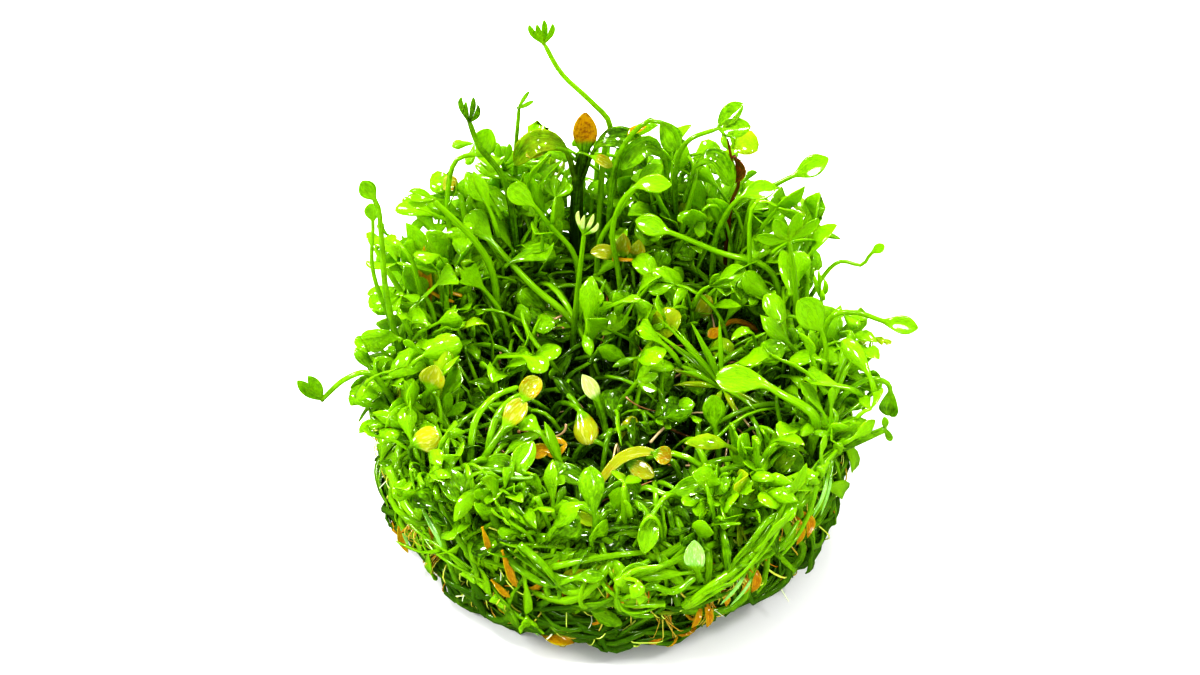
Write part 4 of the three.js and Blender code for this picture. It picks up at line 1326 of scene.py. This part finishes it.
class CLOVER_OT_root_mat(bpy.types.Operator):
    """Form the knitted body of the puck"""

    bl_idname = "clover.root_mat"
    bl_label = "Root mat"

    def execute(self, context):
        body = bmesh.new()
        shoulder = MAT_RIM_HEIGHT - RIM_ROUNDING
        inner = MAT_RADIUS - RIM_ROUNDING
        profile = [(d, 0.0) for d in (0, 12, 24, FOOTPRINT_RADIUS - 0.4)]
        profile += [(float(side_radius(h)), float(h)) for h in np.linspace(0.7, shoulder, 26)]
        for turn in np.linspace(0, math.pi / 2, 8)[1:]:
            distance = MAT_RADIUS - RIM_ROUNDING * (1 - math.cos(turn))
            profile.append((distance, shoulder + RIM_ROUNDING * math.sin(turn)))
        profile += [(float(d), float(mat_top(d))) for d in np.linspace(inner, 0, 34)[1:]]
        ring = [body.verts.new((d, 0, h)) for d, h in profile]
        edges = [body.edges.new(pair) for pair in zip(ring, ring[1:])]
        bmesh.ops.spin(
            body, geom=ring + edges, cent=(0, 0, 0), axis=(0, 0, 1), angle=2 * math.pi, steps=220,
            use_merge=True,
        )
        bmesh.ops.remove_doubles(body, verts=body.verts[:], dist=1e-4)
        bmesh.ops.recalc_face_normals(body, faces=body.faces[:])
        points = np.array([v.co for v in body.verts])
        distance = from_axis(points)
        bearing = np.arctan2(points[:, 1], points[:, 0])
        height = points[:, 2]
        upright = np.sqrt(1 - np.clip((height - shoulder) / RIM_ROUNDING, 0, 1) ** 2)
        on_side = smooth((distance - MAT_RIM_INSIDE) / (FOOTPRINT_RADIUS - 1 - MAT_RIM_INSIDE)) * upright
        fine = 0.3 * np.sin(23 * bearing + 1.7 * height) + 0.25 * np.sin(41 * bearing - 1.1 * height + 1)
        moved = np.maximum(0, distance + on_side * (lumps(bearing, height) + fine - 0.5))
        in_dish = (height > MAT_FLOOR_HEIGHT - 1) * (distance < inner)
        rough = 0.5 * np.sin(0.9 * points[:, 0]) * np.sin(1.1 * points[:, 1] + 0.5)
        for vertex, d, a, h in zip(body.verts, moved, bearing, height + in_dish * rough):
            vertex.co = (d * math.cos(a) * MM, d * math.sin(a) * MM, h * MM)
        body.verts.index_update()
        body.faces.sort(key=lambda f: sum(v.index for v in f.verts) + 1e-6 * min(v.index for v in f.verts))
        mesh = bpy.data.meshes.new("knitted_puck")
        body.to_mesh(mesh)
        body.free()
        mesh.shade_smooth()
        piece = bpy.data.objects.new("knitted_puck", mesh)
        context.scene.collection.objects.link(piece)
        placed(piece, "root_mat", "root_mat")
        return {"FINISHED"}


def either_way(random, count, spread):
    """Headings round the puck, to either side, with a spread."""
    return random.choice([0, math.pi], count) + random.normal(0, spread, count)


def wall_tone_and_shade(random, run, proud):
    """Stems low on the side and under others are darker: painted shade of the overhang and of the stems over
    them, with some age. Those on the rim and outermost are brighter, painted light with young growth.
    """
    height = np.minimum(run / MAT_RIM_HEIGHT, 1.1) ** 1.8
    return np.clip(height * (0.32 * proud - 0.05) + random.normal(0, 0.15, len(run)), 0, 1)


class CLOVER_OT_side_strands(bpy.types.Operator):
    """Run thin stems round the side of the puck, with old ones low down"""

    bl_idname = "clover.side_strands"
    bl_label = "Side strands"

    def execute(self, context):
        random = random_for("side")
        growth = Growth()
        count = settings().side_strands
        bearing = any_way(random, count)
        run = random.uniform(1.5, 22, count)
        proud = 0.3 + np.minimum(2.2, 0.6 + 0.16 * run) * random.uniform(0, 1, count) ** 1.8
        route = over_puck(
            random, bearing, run, either_way(random, count, 0.3 + 0.025 * run), random.uniform(9, 34, count),
            bend=random.normal(0, 0.9, count), proud=proud,
        )
        grow(
            growth, blank(5, 13), route, route.face, radius=random.uniform(0.3, 0.85, count), start=0.93,
            blade_share=0.12, flat=random.uniform(0.35, 0.8, count), twist=random.normal(0, 0.8, count),
            taper=0.8, tone=wall_tone_and_shade(random, run, proud),
            wilt=np.where(random.uniform(0, 1, count) < 0.04, 0.8, 0),
        )
        placed(growth.made("side_strands"), "root_mat", material="wall_growth")

        old = Growth()
        count = round(settings().side_strands * 0.8)
        run = random.uniform(1.5, 13, count)
        route = over_puck(
            random, any_way(random, count), run, either_way(random, count, 0.25),
            random.uniform(10, 24, count), bend=random.normal(0, 1.2, count),
            proud=random.uniform(1.2, 3.0, count), sunk=0.9,
        )
        grow(
            old, blank(6, 11), route, route.face, radius=random.uniform(0.25, 0.7, count), start=0.9,
            blade_share=0.2, flat=0.5, taper=0.8, tone=random.uniform(0.0, 0.6, count),
        )
        placed(old.made("old_stems"), "root_mat", material="wall_growth")
        return {"FINISHED"}


class CLOVER_OT_rim_strands(bpy.types.Operator):
    """Cross and loop flat stems over the rim of the puck"""

    bl_idname = "clover.rim_strands"
    bl_label = "Rim strands"

    def execute(self, context):
        random = random_for("rim strands")
        growth = Growth()
        count = settings().rim_strands
        run = random.uniform(13, 30, count)
        proud = 0.6 + 3.0 * random.uniform(0, 1, count) ** 1.6
        route = over_puck(
            random, any_way(random, count), run, any_way(random, count),
            random.uniform(9, 28, count), bend=random.normal(0, 1.7, count), proud=proud,
        )
        tone = wall_tone_and_shade(random, run, proud)
        grow(
            growth, blank(5, 13), route, route.face, radius=random.uniform(0.45, 0.95, count), start=0.93,
            blade_share=0.15, flat=random.uniform(0.35, 0.75, count), twist=random.normal(0, 0.9, count),
            taper=0.85, tone=tone,
        )
        count = count // 7
        run = random.uniform(15, 27, count)
        proud = random.uniform(2.0, 3.6, count)
        route = over_puck(
            random, any_way(random, count), run, any_way(random, count),
            random.uniform(12, 24, count), bend=random.choice([-1, 1], count) * random.uniform(3, 5.6, count),
            proud=proud,
        )
        grow(
            growth, blank(5, 20), route, route.face, radius=random.uniform(0.55, 0.95, count), start=0.93,
            blade_share=0.1, flat=0.5, taper=0.8, tone=wall_tone_and_shade(random, run, proud),
        )
        placed(growth.made("rim_strands"), "root_mat", material="wall_growth")

        arches = Growth()
        count = settings().rim_arches
        bearing = any_way(random, count)
        run = random.uniform(12, 36, count)
        step = random.normal(0, 1, (count, 2)) * [11, 5]
        end_bearing = bearing + step[:, 0] / MAT_RADIUS
        end_run = np.clip(run + step[:, 1], 6, 38)
        ends = [skin(bearing, run, -0.6), skin(end_bearing, end_run, -0.6)]
        normals = [skin(bearing, run, 0.4) - ends[0], skin(end_bearing, end_run, 0.4) - ends[1]]
        room = smooth((np.minimum(run, end_run) - 12) / 14)
        rise = (random.uniform(1.5, 3.5, count) + random.uniform(0, 6.5, count) * room)[:, None]
        leafy = random.uniform(0, 1, (count, 1)) < 0.1 + 0.3 * room[:, None]
        across = ends[1] - ends[0] + random.normal(0, 1.5, (count, 3))
        last = ends[1] + normals[1] * rise * leafy * random.uniform(0.3, 0.9, (count, 1))
        near = ends[0] + normals[0] * rise * 1.1 - across * random.uniform(-0.1, 0.5, (count, 1))
        beyond = last + normals[1] * rise * (0.2 + 0.9 * ~leafy)
        beyond = beyond + across * random.uniform(-0.3, 0.3, (count, 1))
        corners = np.stack([ends[0], near, beyond, last], 1)
        # Arches higher on the rim and rising higher are brighter, painted light, over a random tone
        tone = np.clip(0.2 + 0.3 * room + 0.05 * rise[:, 0] + random.normal(0, 0.22, count), 0, 1)
        for leaves in (False, True):
            chosen = leafy[:, 0] == leaves
            number = chosen.sum()
            faces = normals[1][chosen] + random.normal(0, 0.4, (number, 3))
            grow(
                arches, blank(6, 11), bezier(corners[chosen]), faces,
                radius=random.uniform(0.45, 0.85, number), width=random.uniform(2.0, 4.2, number) * leaves,
                start=random.uniform(0.5, 0.68, number) if leaves else 0.93,
                blade_share=0.5 if leaves else 0.15,
                widest=random.uniform(0.5, 0.68, number), blunt=random.uniform(0.6, 1.0, number),
                cup=random.uniform(-0.5, 0.9, number), flat=random.uniform(0.4, 0.8, number),
                twist=random.normal(0, 0.6, number), tone=tone[chosen],
            )
        placed(arches.made("rim_arches"), "root_mat", material="wall_growth")
        return {"FINISHED"}


def lying_limb(growth, finish, spec):
    """Grows one leaf, strap or bare stem that lies over the clump."""
    route = smooth_route(spec["route"])
    width = spec.get("width", 0)
    tone, wilt = LYING_FINISHES[finish][3:]
    blade_share = 0.5
    widest, blunt = 0.55, 0.7
    radius = 0.7
    if not width:
        start, blade_share = 0.94, 0.1
    elif finish == "dead":
        start, blade_share = 0.04, 0.9
        widest, blunt = 0.5, 1.0
    else:
        start = max(spec.get("start", 0.35), 1 - spec.get("long", 2.1) * width / route.length)
    if width and finish in ("yellow", "dead"):
        radius = 0.3
    grow(
        growth, blank(12, 36), route, LEAF_FACE, spec.get("radius", radius), width=width, start=start,
        blade_share=blade_share, widest=widest, blunt=blunt, cup=0.5, wave=0.03, flat=0.55, twist=0.5,
        tone=spec.get("tone", tone), wilt=spec.get("wilt", wilt),
    )


class CLOVER_OT_lying_growth(bpy.types.Operator):
    """Lay leaves and straps over the front of the clump, and glossy leaves all over its top"""

    bl_idname = "clover.lying_growth"
    bl_label = "Lying leaves"

    def execute(self, context):
        for finish, specs in LYING.items():
            growth = Growth()
            for spec in specs:
                lying_limb(growth, finish, spec)
            piece, slot, material = LYING_FINISHES[finish][:3]
            placed(growth.made(piece), slot, material=material)

        random = random_for("lying")
        growth = Growth()
        count = settings().lying_leaves
        bearing = any_way(random, count)
        far = 36 * np.sqrt(random.uniform(0.05, 1, count))
        foot = polar(bearing, far, mat_top(far) - 0.5)
        way = polar(any_way(random, count), 1.0, 0.0)
        size = random.uniform(9, 17, (count, 1))
        rise = random.uniform(2, 8, (count, 1)) * UP
        corners = np.stack([
            foot, foot + rise * 1.3 + way * size * 0.2, foot + rise * 1.1 + way * size * 0.6,
            foot + rise * random.uniform(0.6, 1.1, (count, 1)) + way * size,
        ], 1)
        clear = ~crowds_fronds(bezier(corners)(np.array([[0.6, 0.9]])), 2.4)
        corners = corners[clear & (from_axis(corners[:, 3]) < MAT_RADIUS)]
        count = len(corners)
        grow(
            growth, blank(6, 11), bezier(corners), random.normal(0, 0.3, (count, 3)) + [0, -0.1, 1.0],
            radius=random.uniform(0.45, 0.7, count), width=random.uniform(2.4, 3.8, count),
            start=random.uniform(0.3, 0.5, count), blade_share=0.6, widest=random.uniform(0.48, 0.6, count),
            blunt=random.uniform(0.75, 1.0, count), cup=random.uniform(-0.6, 0.6, count), flat=0.7,
            tone=np.clip(random.normal(0.35, 0.25, count), 0, 1),
        )
        placed(growth.made("lying_leaves"), "shaded_leaf")
        return {"FINISHED"}


class CLOVER_OT_wall_leaves(bpy.types.Operator):
    """Press leaves and dead scraps against the side and the rim of the puck"""

    bl_idname = "clover.wall_leaves"
    bl_label = "Wall leaves"

    def execute(self, context):
        random = random_for("wall leaves")
        leaves = Growth()
        count = settings().wall_leaves
        run = random.uniform(10, 29, count)
        proud = random.uniform(1.2, 2.6, count)
        free = run > 16
        for tucked in (True, False):
            chosen = free != tucked
            number = chosen.sum()
            route = over_puck(
                random, any_way(random, number), run[chosen], any_way(random, number),
                random.uniform(8, 15, number), bend=random.normal(0, 0.8, number),
                proud=proud[chosen] + (0 if tucked else 1.2), free=not tucked,
            )
            grow(
                leaves, blank(6, 11), route, route.face + random.normal(0, 0.3, (number, 3)),
                radius=random.uniform(0.4, 0.65, number), width=random.uniform(1.8, 3.8, number),
                start=random.uniform(0.35, 0.6, number), blade_share=0.55,
                widest=random.uniform(0.5, 0.68, number), blunt=random.uniform(0.55, 0.95, number),
                cup=random.uniform(-0.4, 0.5, number), wave=random.uniform(-0.06, 0.06, number), flat=0.7,
                tone=wall_tone_and_shade(random, run[chosen], proud[chosen] + 0.6),
                wilt=np.where(random.uniform(0, 1, number) < 0.06, random.uniform(0.4, 1, number), 0),
            )
        placed(leaves.made("wall_leaves"), "root_mat", material="wall_growth")

        scraps = Growth()
        count = settings().dead_scraps
        route = over_puck(
            random, any_way(random, count), random.uniform(2, 22, count), any_way(random, count),
            random.uniform(3, 6, count), bend=random.normal(0, 0.5, count),
            proud=random.uniform(1.6, 2.6, count),
        )
        grow(
            scraps, blank(6, 11), route, route.face + random.normal(0, 0.4, (count, 3)), radius=0.22,
            width=random.uniform(0.8, 2.0, count), start=0.12, blade_share=0.8, widest=0.5, blunt=0.9,
            cup=random.uniform(0, 0.8, count), tone=random.uniform(0.2, 1, count), wilt=1,
        )
        placed(scraps.made("dead_scraps"), "withered")
        return {"FINISHED"}


class CLOVER_OT_dish_growth(bpy.types.Operator):
    """Lay stems over the top of the puck, with a sheaf of grassy stalks and tufts of the tiniest sprouts"""

    bl_idname = "clover.dish_growth"
    bl_label = "Dish growth"

    def execute(self, context):
        random = random_for("dish")
        growth = Growth()
        count = settings().dish_strands
        reach = MAT_RADIUS * 0.93 * np.sqrt(random.uniform(0.0, 1, count))
        turn = any_way(random, count)
        foot = polar(turn, reach, mat_top(reach) - 0.5)
        run = polar(any_way(random, count), random.uniform(7, 24, count), 0.0)
        end = foot + run
        end[:, :2] *= np.minimum(1, 36.5 / np.maximum(from_axis(end), 1))[:, None]
        end[:, 2] = mat_top(from_axis(end)) - 0.5
        rise = random.uniform(0.8, 15, count)
        hump = rise[:, None] * UP
        bend = random.normal(0, 3, (count, 3)) * [1, 1, 0]
        route = cubic(foot, foot + run * 0.25 + hump + bend, end - run * 0.25 + hump * 0.9 - bend, end)
        grow(
            growth, blank(5, 13), route, unit(random.normal(0, 0.3, (count, 3)) + UP),
            radius=random.uniform(0.38, 0.75, count), start=0.93, blade_share=0.15,
            flat=random.uniform(0.6, 1, count),
            # Strands that arch higher are brighter, painted light, over a random tone
            tone=np.clip(0.05 * rise + random.normal(0.05, 0.15, count), 0, 1),
        )
        placed(growth.made("dish_strands"), "root_mat", material="shaded_leaf")

        sheaf = Growth()
        count = SHEAF["stalks"]
        side = random.uniform(0, 1, (count, 1))
        left, right, lean = (np.array(SHEAF[key]) for key in ("left", "right", "lean"))
        foot = left * (1 - side) + right * side + random.normal(0, 0.8, (count, 3))
        foot[:, 2] = MAT_FLOOR_HEIGHT - 0.5
        top = foot + lean * random.uniform(0.55, 1.1, (count, 1)) + random.normal(0, 1.3, (count, 3))
        way = top - foot
        route = cubic(foot, foot + way * 0.3 + 3 * UP, foot + way * 0.7 + 1.5 * UP, top)
        grow(
            sheaf, blank(7, 15), route, LEAF_FACE, radius=random.uniform(0.45, 0.8, count),
            width=random.choice([0, 0, 2.2, 3.4], count), start=0.75, blade_share=0.4, flat=0.6, twist=0.4,
            taper=0.6, tone=np.clip(random.normal(0.4, 0.2, count), 0, 1),
        )
        placed(sheaf.made("grassy_sheaf"), "shaded_leaf")

        tufts = Growth()
        count = settings().sprout_tufts
        centre = polar(any_way(random, count), 29 * np.sqrt(random.uniform(0, 1, count)), 0.0)
        centre[:, 2] = mat_top(from_axis(centre)) + random.uniform(0, 3.5, count)
        count = count * TUFT_SPROUTS
        base = np.repeat(centre, TUFT_SPROUTS, axis=0) + random.normal(0, 0.9, (count, 3)) * [1, 1, 0.6]
        way = unit(random.normal(0, 0.7, (count, 3)) + 0.8 * UP)
        size = random.uniform(1.0, 2.6, (count, 1))
        curl = random.normal(0, 0.5, (count, 3))
        route = cubic(
            base, base + way * size * 0.4, base + (way + curl * 0.6) * size * 0.8,
            base + (way + curl) * size,
        )
        grow(
            tufts, blank(5, 7), route, way + curl + UP, radius=0.16,
            width=random.uniform(0.4, 1.0, count), start=0.3, blade_share=0.6, widest=0.6, flat=0.8,
            thickness=0.25, tone=np.clip(random.normal(0.35, 0.2, count), 0, 1),
        )
        placed(tufts.made("tiny_sprouts"), "shaded_leaf")
        return {"FINISHED"}


class CLOVER_OT_hair_roots(bpy.types.Operator):
    """Thread fine roots through the side of the puck and lay dry straws in its dish"""

    bl_idname = "clover.hair_roots"
    bl_label = "Hair roots"

    def execute(self, context):
        random = random_for("roots")
        growth = Growth()
        count = settings().hair_roots
        run = random.uniform(5, 26, count)
        route = over_puck(
            random, any_way(random, count), run, -math.pi / 2 + random.normal(0, 0.7, count),
            random.uniform(3, 11, count), bend=random.normal(0, 0.7, count),
            proud=random.uniform(1.8, 3.0, count), sunk=0.6,
        )
        grow(
            growth, blank(5, 11), route, route.face, radius=random.uniform(0.09, 0.2, count), start=0.93,
            blade_share=0.15, tone=0.5, wilt=random.uniform(0, 1, count) ** 2,
        )
        count = count // 3
        bearing = any_way(random, count)
        run = random.uniform(6, 25, count)
        foot = skin(bearing, run, 0.5)
        away = unit(skin(bearing, run, 1.5) - foot + random.normal(0, 0.7, foot.shape))
        size = random.uniform(1.2, 3.0, (count, 1))
        turned = away + random.normal(0, 0.5, foot.shape)
        route = cubic(
            foot, foot + away * size * 0.4, foot + (away + turned) * size * 0.4, foot + turned * size,
        )
        grow(
            growth, blank(5, 7), route, UP, radius=random.uniform(0.11, 0.2, count), start=0.8,
            blade_share=0.3, tone=1,
        )
        count = BUNDLE_ROOTS
        for bearing, height in ROOT_BUNDLES:
            bearing = np.radians(bearing) + random.normal(0, 0.025, count)
            route = over_puck(
                random, bearing, height + random.normal(0, 0.4, count),
                -math.pi / 2 + random.normal(0, 0.35, count), random.uniform(3, 6, count),
                bend=random.normal(0, 0.15, count), proud=random.uniform(2.4, 3.8, count), sunk=0.6,
            )
            grow(
                growth, blank(5, 9), route, route.face, radius=random.uniform(0.1, 0.22, count), start=0.5,
                blade_share=0.5, taper=0.5, tone=0.5, wilt=random.uniform(0.4, 0.95, count),
            )
        placed(growth.made("hair_roots"), "root_mat", material="roots")

        straws = Growth()
        count = settings().dish_litter
        middle = polar(any_way(random, count), 28 * np.sqrt(random.uniform(0, 1, count)), 0.0)
        middle[:, 2] = mat_top(from_axis(middle)) + random.uniform(2, 11, count)
        half = unit(random.normal(0, 1, (count, 3)) * [1, 1, 0.6]) * random.uniform(2, 7, (count, 1))
        bow = random.normal(0, 1.3, (count, 3))
        route = cubic(middle - half, middle - half * 0.3 + bow, middle + half * 0.3 + bow, middle + half)
        grow(
            straws, blank(5, 11), route, UP, radius=random.uniform(0.14, 0.3, count),
            start=0.8, blade_share=0.3, tone=0.5, wilt=random.uniform(0, 1, count),
        )
        placed(straws.made("dry_straws"), "withered", material="straws")
        return {"FINISHED"}


# What stands clear of the clump

def standing_frond(spec):
    """Grows one frond along its stalk, with its leaf and whatever more its row gives."""
    growth = Growth()
    stalk = rooted(spec["stalk"])
    radius = spec.get("radius", STALK_RADIUS)
    face = spec.get("face", LEAF_FACE)
    tip = spec.get("tip")
    tone = spec.get("tone", 0.5)
    if tip is None:
        grow(growth, blank(10, 36), smooth_route(stalk), face, radius, blade_share=0.2, taper=0.4, tone=tone)
    elif "leaflets" in spec:
        route = smooth_route(stalk)
        grow(growth, blank(10, 36), route, face, radius, start=0.96, blade_share=0.12, tone=tone)
        base = np.array(stalk[-1], float)
        axis = np.array(tip, float) - base
        length = np.linalg.norm(axis)
        number = spec["leaflets"]
        claw = spec.get("claw", 0.0)
        width = spec.get("leaf_width", length * (0.4 if number > 2 else 0.55))
        grow_leaflets(
            growth, blank(12, 18), base, axis, face, length, width, number, math.radians(spec["spread"]),
            claw=claw, widest=0.5, blunt=0.62 + 0.4 * claw, cup=0.45, tone=tone,
        )
    else:
        route = smooth_route([*stalk, tip])
        start = 1 - spec.get("long", BLADE_LENGTH) * spec["width"] / route.length
        grow(
            growth, blank(32 if "teeth" in spec else 14, 44), route, face, radius, width=spec["width"],
            start=start, widest=spec.get("widest", 0.58), blunt=spec.get("blunt", 0.6),
            teeth=spec.get("teeth", 0.0), cup=spec.get("cup", 0.25), notch=0.04, wave=0.02, tone=tone,
            wilt=spec.get("wilt", 0.0),
        )
    for part in spec.get("more", ()):
        grow(
            growth, blank(12, 20), smooth_route(part["route"]), face, 0.4,
            width=part["width"], start=part["start"], blade_share=0.75, widest=0.55, blunt=0.6,
            cup=part.get("cup", 0.3), tone=tone, wilt=part.get("wilt", 0.2),
        )
    return growth


class CLOVER_OT_standing_fronds(bpy.types.Operator):
    """Grow the fronds that stand clear of the clump"""

    bl_idname = "clover.standing_fronds"
    bl_label = "Standing fronds"

    def execute(self, context):
        for name, spec in FRONDS.items():
            placed(standing_frond(spec).made(name.replace("frond", "leaf")), SLOTS[name], name)
        return {"FINISHED"}


class CLOVER_OT_withered_growth(bpy.types.Operator):
    """Grow the dead leaves and the dead stalk"""

    bl_idname = "clover.withered_growth"
    bl_label = "Withered growth"

    def execute(self, context):
        for name, spec in WITHERED.items():
            piece = standing_frond(spec).made(name.replace("withered", "dead"))
            placed(piece, SLOTS[name], name, material=spec.get("material"))
        return {"FINISHED"}


class CLOVER_OT_runners(bpy.types.Operator):
    """Lay the creeping stems over the rim, with side leaves at their swollen joints"""

    bl_idname = "clover.runners"
    bl_label = "Runners"

    def execute(self, context):
        for name, points in RUNNERS.items():
            random = random_for(name)
            growth = Growth()
            middle = unit(np.array(points[len(points) // 2], float) * [1, 1, 0] + [0, 0, 10])
            line = smooth_route(points)
            for strand in range(3):
                at = np.linspace(0.02 * strand, 1 - 0.03 * strand, 4 + 3 * len(points))
                phase = 2.1 * strand + at * (2.5 + strand)
                swing = 0.4 if strand == 0 else 1.3
                outward = unit(line(at) * [1, 1, 0])
                course = line(at) + outward * (swing * np.cos(2 * phase))[:, None]
                course = course + np.stack([0 * at, 0 * at, swing * np.sin(2 * phase)], 1)
                grow(
                    growth, blank(9, 46), smooth_route(course), middle, 0.75 if strand == 0 else 0.32,
                    start=0.9, blade_share=0.15, flat=0.8, taper=0.6, twist=0.7, tone=1 - 0.25 * strand,
                )
            joints = np.arange(0.12, 0.95, 6.5 / line.length)
            base = line(joints)
            count = len(joints)
            along = unit(line(joints + 0.03) - line(joints - 0.03))
            knots = cubic(*(base + along * at for at in (-1.5, -0.5, 0.5, 1.5)))
            grow(
                growth, blank(9, 10), knots, middle, 1.05, start=0.5, blade_share=0.5, flat=0.8, tone=0.9,
            )
            way = unit(random.normal(0, 0.5, (count, 3)) + middle * 0.35 + [0, 0, 0.9])
            size = random.uniform(4, 8, (count, 1))
            route = cubic(
                base, base + way * size * 0.4, base + (way + along * 0.3) * size * 0.7,
                base + (way + along * random.uniform(-0.9, 1.2, (count, 1))) * size,
            )
            grow(
                growth, blank(7, 14), route, random.normal(0, 0.4, (count, 3)) + middle, 0.5,
                width=random.uniform(1.4, 3.2, count), start=0.5, blade_share=0.55, flat=0.8,
                cup=random.uniform(-0.3, 0.8, count), blunt=random.uniform(0.7, 1, count),
                tone=random.uniform(0.5, 0.9, count),
            )
            placed(growth.made(name.replace("runner", "creeping_stem")), SLOTS[name], name)
        return {"FINISHED"}


class CLOVER_OT_spiky_tuft(bpy.types.Operator):
    """Grow the tuft of thin spiky young leaves"""

    bl_idname = "clover.spiky_tuft"
    bl_label = "Spiky tuft"

    def execute(self, context):
        random = random_for("spiky")
        growth = Growth()
        x, y = SPIKY_TUFT["foot"]
        top = np.array(SPIKY_TUFT["top"], float)
        stem = smooth_route([(x, y, MAT_FLOOR_HEIGHT - ROOT_DEPTH), (x, y + 0.4, 22), tuple(top)])
        grow(
            growth, blank(10, 20), stem, LEAF_FACE, SPIKY_TUFT["radius"], start=0.9, blade_share=0.2,
            tone=0.9,
        )
        tips = np.array(SPIKY_TUFT["spikes"], float)
        count = SPIKY_TUFT["more"]
        extra = tips[random.integers(0, len(tips), count)] - top
        extra = top + extra * random.uniform(0.75, 1.15, (count, 1)) + random.normal(0, 3.2, (count, 3))
        tips = np.concatenate([tips, extra])
        away = tips - top
        foot = np.broadcast_to(top - 0.6 * UP, tips.shape)
        route = cubic(foot, top + away * 0.3 + 1.2 * UP, top + away * 0.7 + 0.8 * UP, tips)
        grow(
            growth, blank(8, 16), route, LEAF_FACE, 0.22,
            width=random.uniform(0.6, 1.1, len(tips)), start=0.15, blade_share=0.75, widest=0.35, blunt=0.9,
            tone=random.uniform(0.85, 1, len(tips)), wilt=np.where(tips[:, 2] < 29, 0.5, 0),
        )
        placed(growth.made("spiky_leaves"), SLOTS["spiky_tuft"], "spiky_tuft", material="runner")
        return {"FINISHED"}


class CLOVER_OT_stage(bpy.types.Operator):
    """Set the floor, the lights and the camera"""

    bl_idname = "clover.stage"
    bl_label = "Stage"

    def execute(self, context):
        scene = context.scene
        chosen = scene.clover_stage
        floor = bmesh.new()
        bmesh.ops.create_grid(floor, x_segments=1, y_segments=1, size=FLOOR_REACH)
        mesh = bpy.data.meshes.new("floor")
        floor.to_mesh(mesh)
        floor.free()
        ground = bpy.data.objects.new("floor", mesh)
        scene.collection.objects.link(ground)
        tree = Tree("floor")
        values = {"Base Color": (*chosen.floor_colour, 1), "Roughness": 0.9, "Specular IOR Level": 0.1}
        surface = tree.node("ShaderNodeBsdfPrincipled", {}, values)
        tree.node("ShaderNodeOutputMaterial", {}, {"Surface": surface.outputs[0]})
        mesh.materials.append(tree.material)
        ground.visible_glossy = False

        world = bpy.data.worlds.new("soft light")
        world.use_nodes = True
        nodes, links = world.node_tree.nodes, world.node_tree.links
        background = nodes["Background"]
        background.inputs["Color"].default_value = (1, 1, 1, 1)
        background.inputs["Strength"].default_value = chosen.sky
        dim = nodes.new("ShaderNodeBackground")
        dim.inputs["Strength"].default_value = chosen.sky * GLOSS_SKY
        both = nodes.new("ShaderNodeMixShader")
        links.new(nodes.new("ShaderNodeLightPath").outputs["Is Glossy Ray"], both.inputs["Fac"])
        links.new(background.outputs[0], both.inputs[1])
        links.new(dim.outputs[0], both.inputs[2])
        links.new(both.outputs[0], nodes["World Output"].inputs["Surface"])
        scene.world = world

        for name, spot, size, share in LAMPS:
            light = bpy.data.lights.new(name, "AREA")
            light.shape = "DISK"
            light.size = size
            light.energy = chosen.key * share
            lamp = bpy.data.objects.new(name, light)
            scene.collection.objects.link(lamp)
            aim_from(lamp, spot, LAMP_AIM)

        camera = bpy.data.cameras.new("camera")
        camera.lens = chosen.lens
        view = bpy.data.objects.new("camera", camera)
        scene.collection.objects.link(view)
        aim_from(view, EYE, AIM)
        scene.camera = view
        scene.view_settings.view_transform = "Standard"
        scene.view_settings.look = "High Contrast"
        return {"FINISHED"}


def aim_from(lamp, spot, aim):
    """Sets a lamp or camera at a spot and points it at another."""
    lamp.location = spot
    lamp.rotation_euler = Vector(np.array(aim) - np.array(spot)).to_track_quat("-Z", "Y").to_euler()


class CLOVER_PT_panel(bpy.types.Panel):
    """Lists the pieces of the clump"""

    bl_idname = "CLOVER_PT_panel"
    bl_label = "Water clover"
    bl_space_type = "VIEW_3D"
    bl_region_type = "UI"
    bl_category = "Water clover"

    def draw(self, context):
        for place in GROUPS:
            group = getattr(context.scene, place)
            for name in group.__annotations__:
                self.layout.prop(group, name)
        for operator in OPERATORS:
            self.layout.operator(operator.bl_idname)


OPERATORS = (
    CLOVER_OT_stage, CLOVER_OT_root_mat, CLOVER_OT_side_strands, CLOVER_OT_rim_strands,
    CLOVER_OT_wall_leaves, CLOVER_OT_lying_growth, CLOVER_OT_dish_growth, CLOVER_OT_hair_roots,
    CLOVER_OT_rim_plantlets, CLOVER_OT_inner_plantlets, CLOVER_OT_standing_fronds,
    CLOVER_OT_withered_growth, CLOVER_OT_runners, CLOVER_OT_spiky_tuft,
)
GROUPS = dict(clover_clump=ClumpSettings, clover_colours=ColourSettings, clover_stage=StageSettings)
CLASSES = (*GROUPS.values(), *OPERATORS, CLOVER_PT_panel)


def register():
    for each in CLASSES:
        bpy.utils.register_class(each)
    for name, group in GROUPS.items():
        setattr(bpy.types.Scene, name, PointerProperty(type=group))


def unregister():
    for name in GROUPS:
        delattr(bpy.types.Scene, name)
    for each in reversed(CLASSES):
        bpy.utils.unregister_class(each)


def main():
    register()
    for operator in OPERATORS:
        category, action = operator.bl_idname.split(".")
        getattr(getattr(bpy.ops, category), action)()


if __name__ == "__main__":
    main()
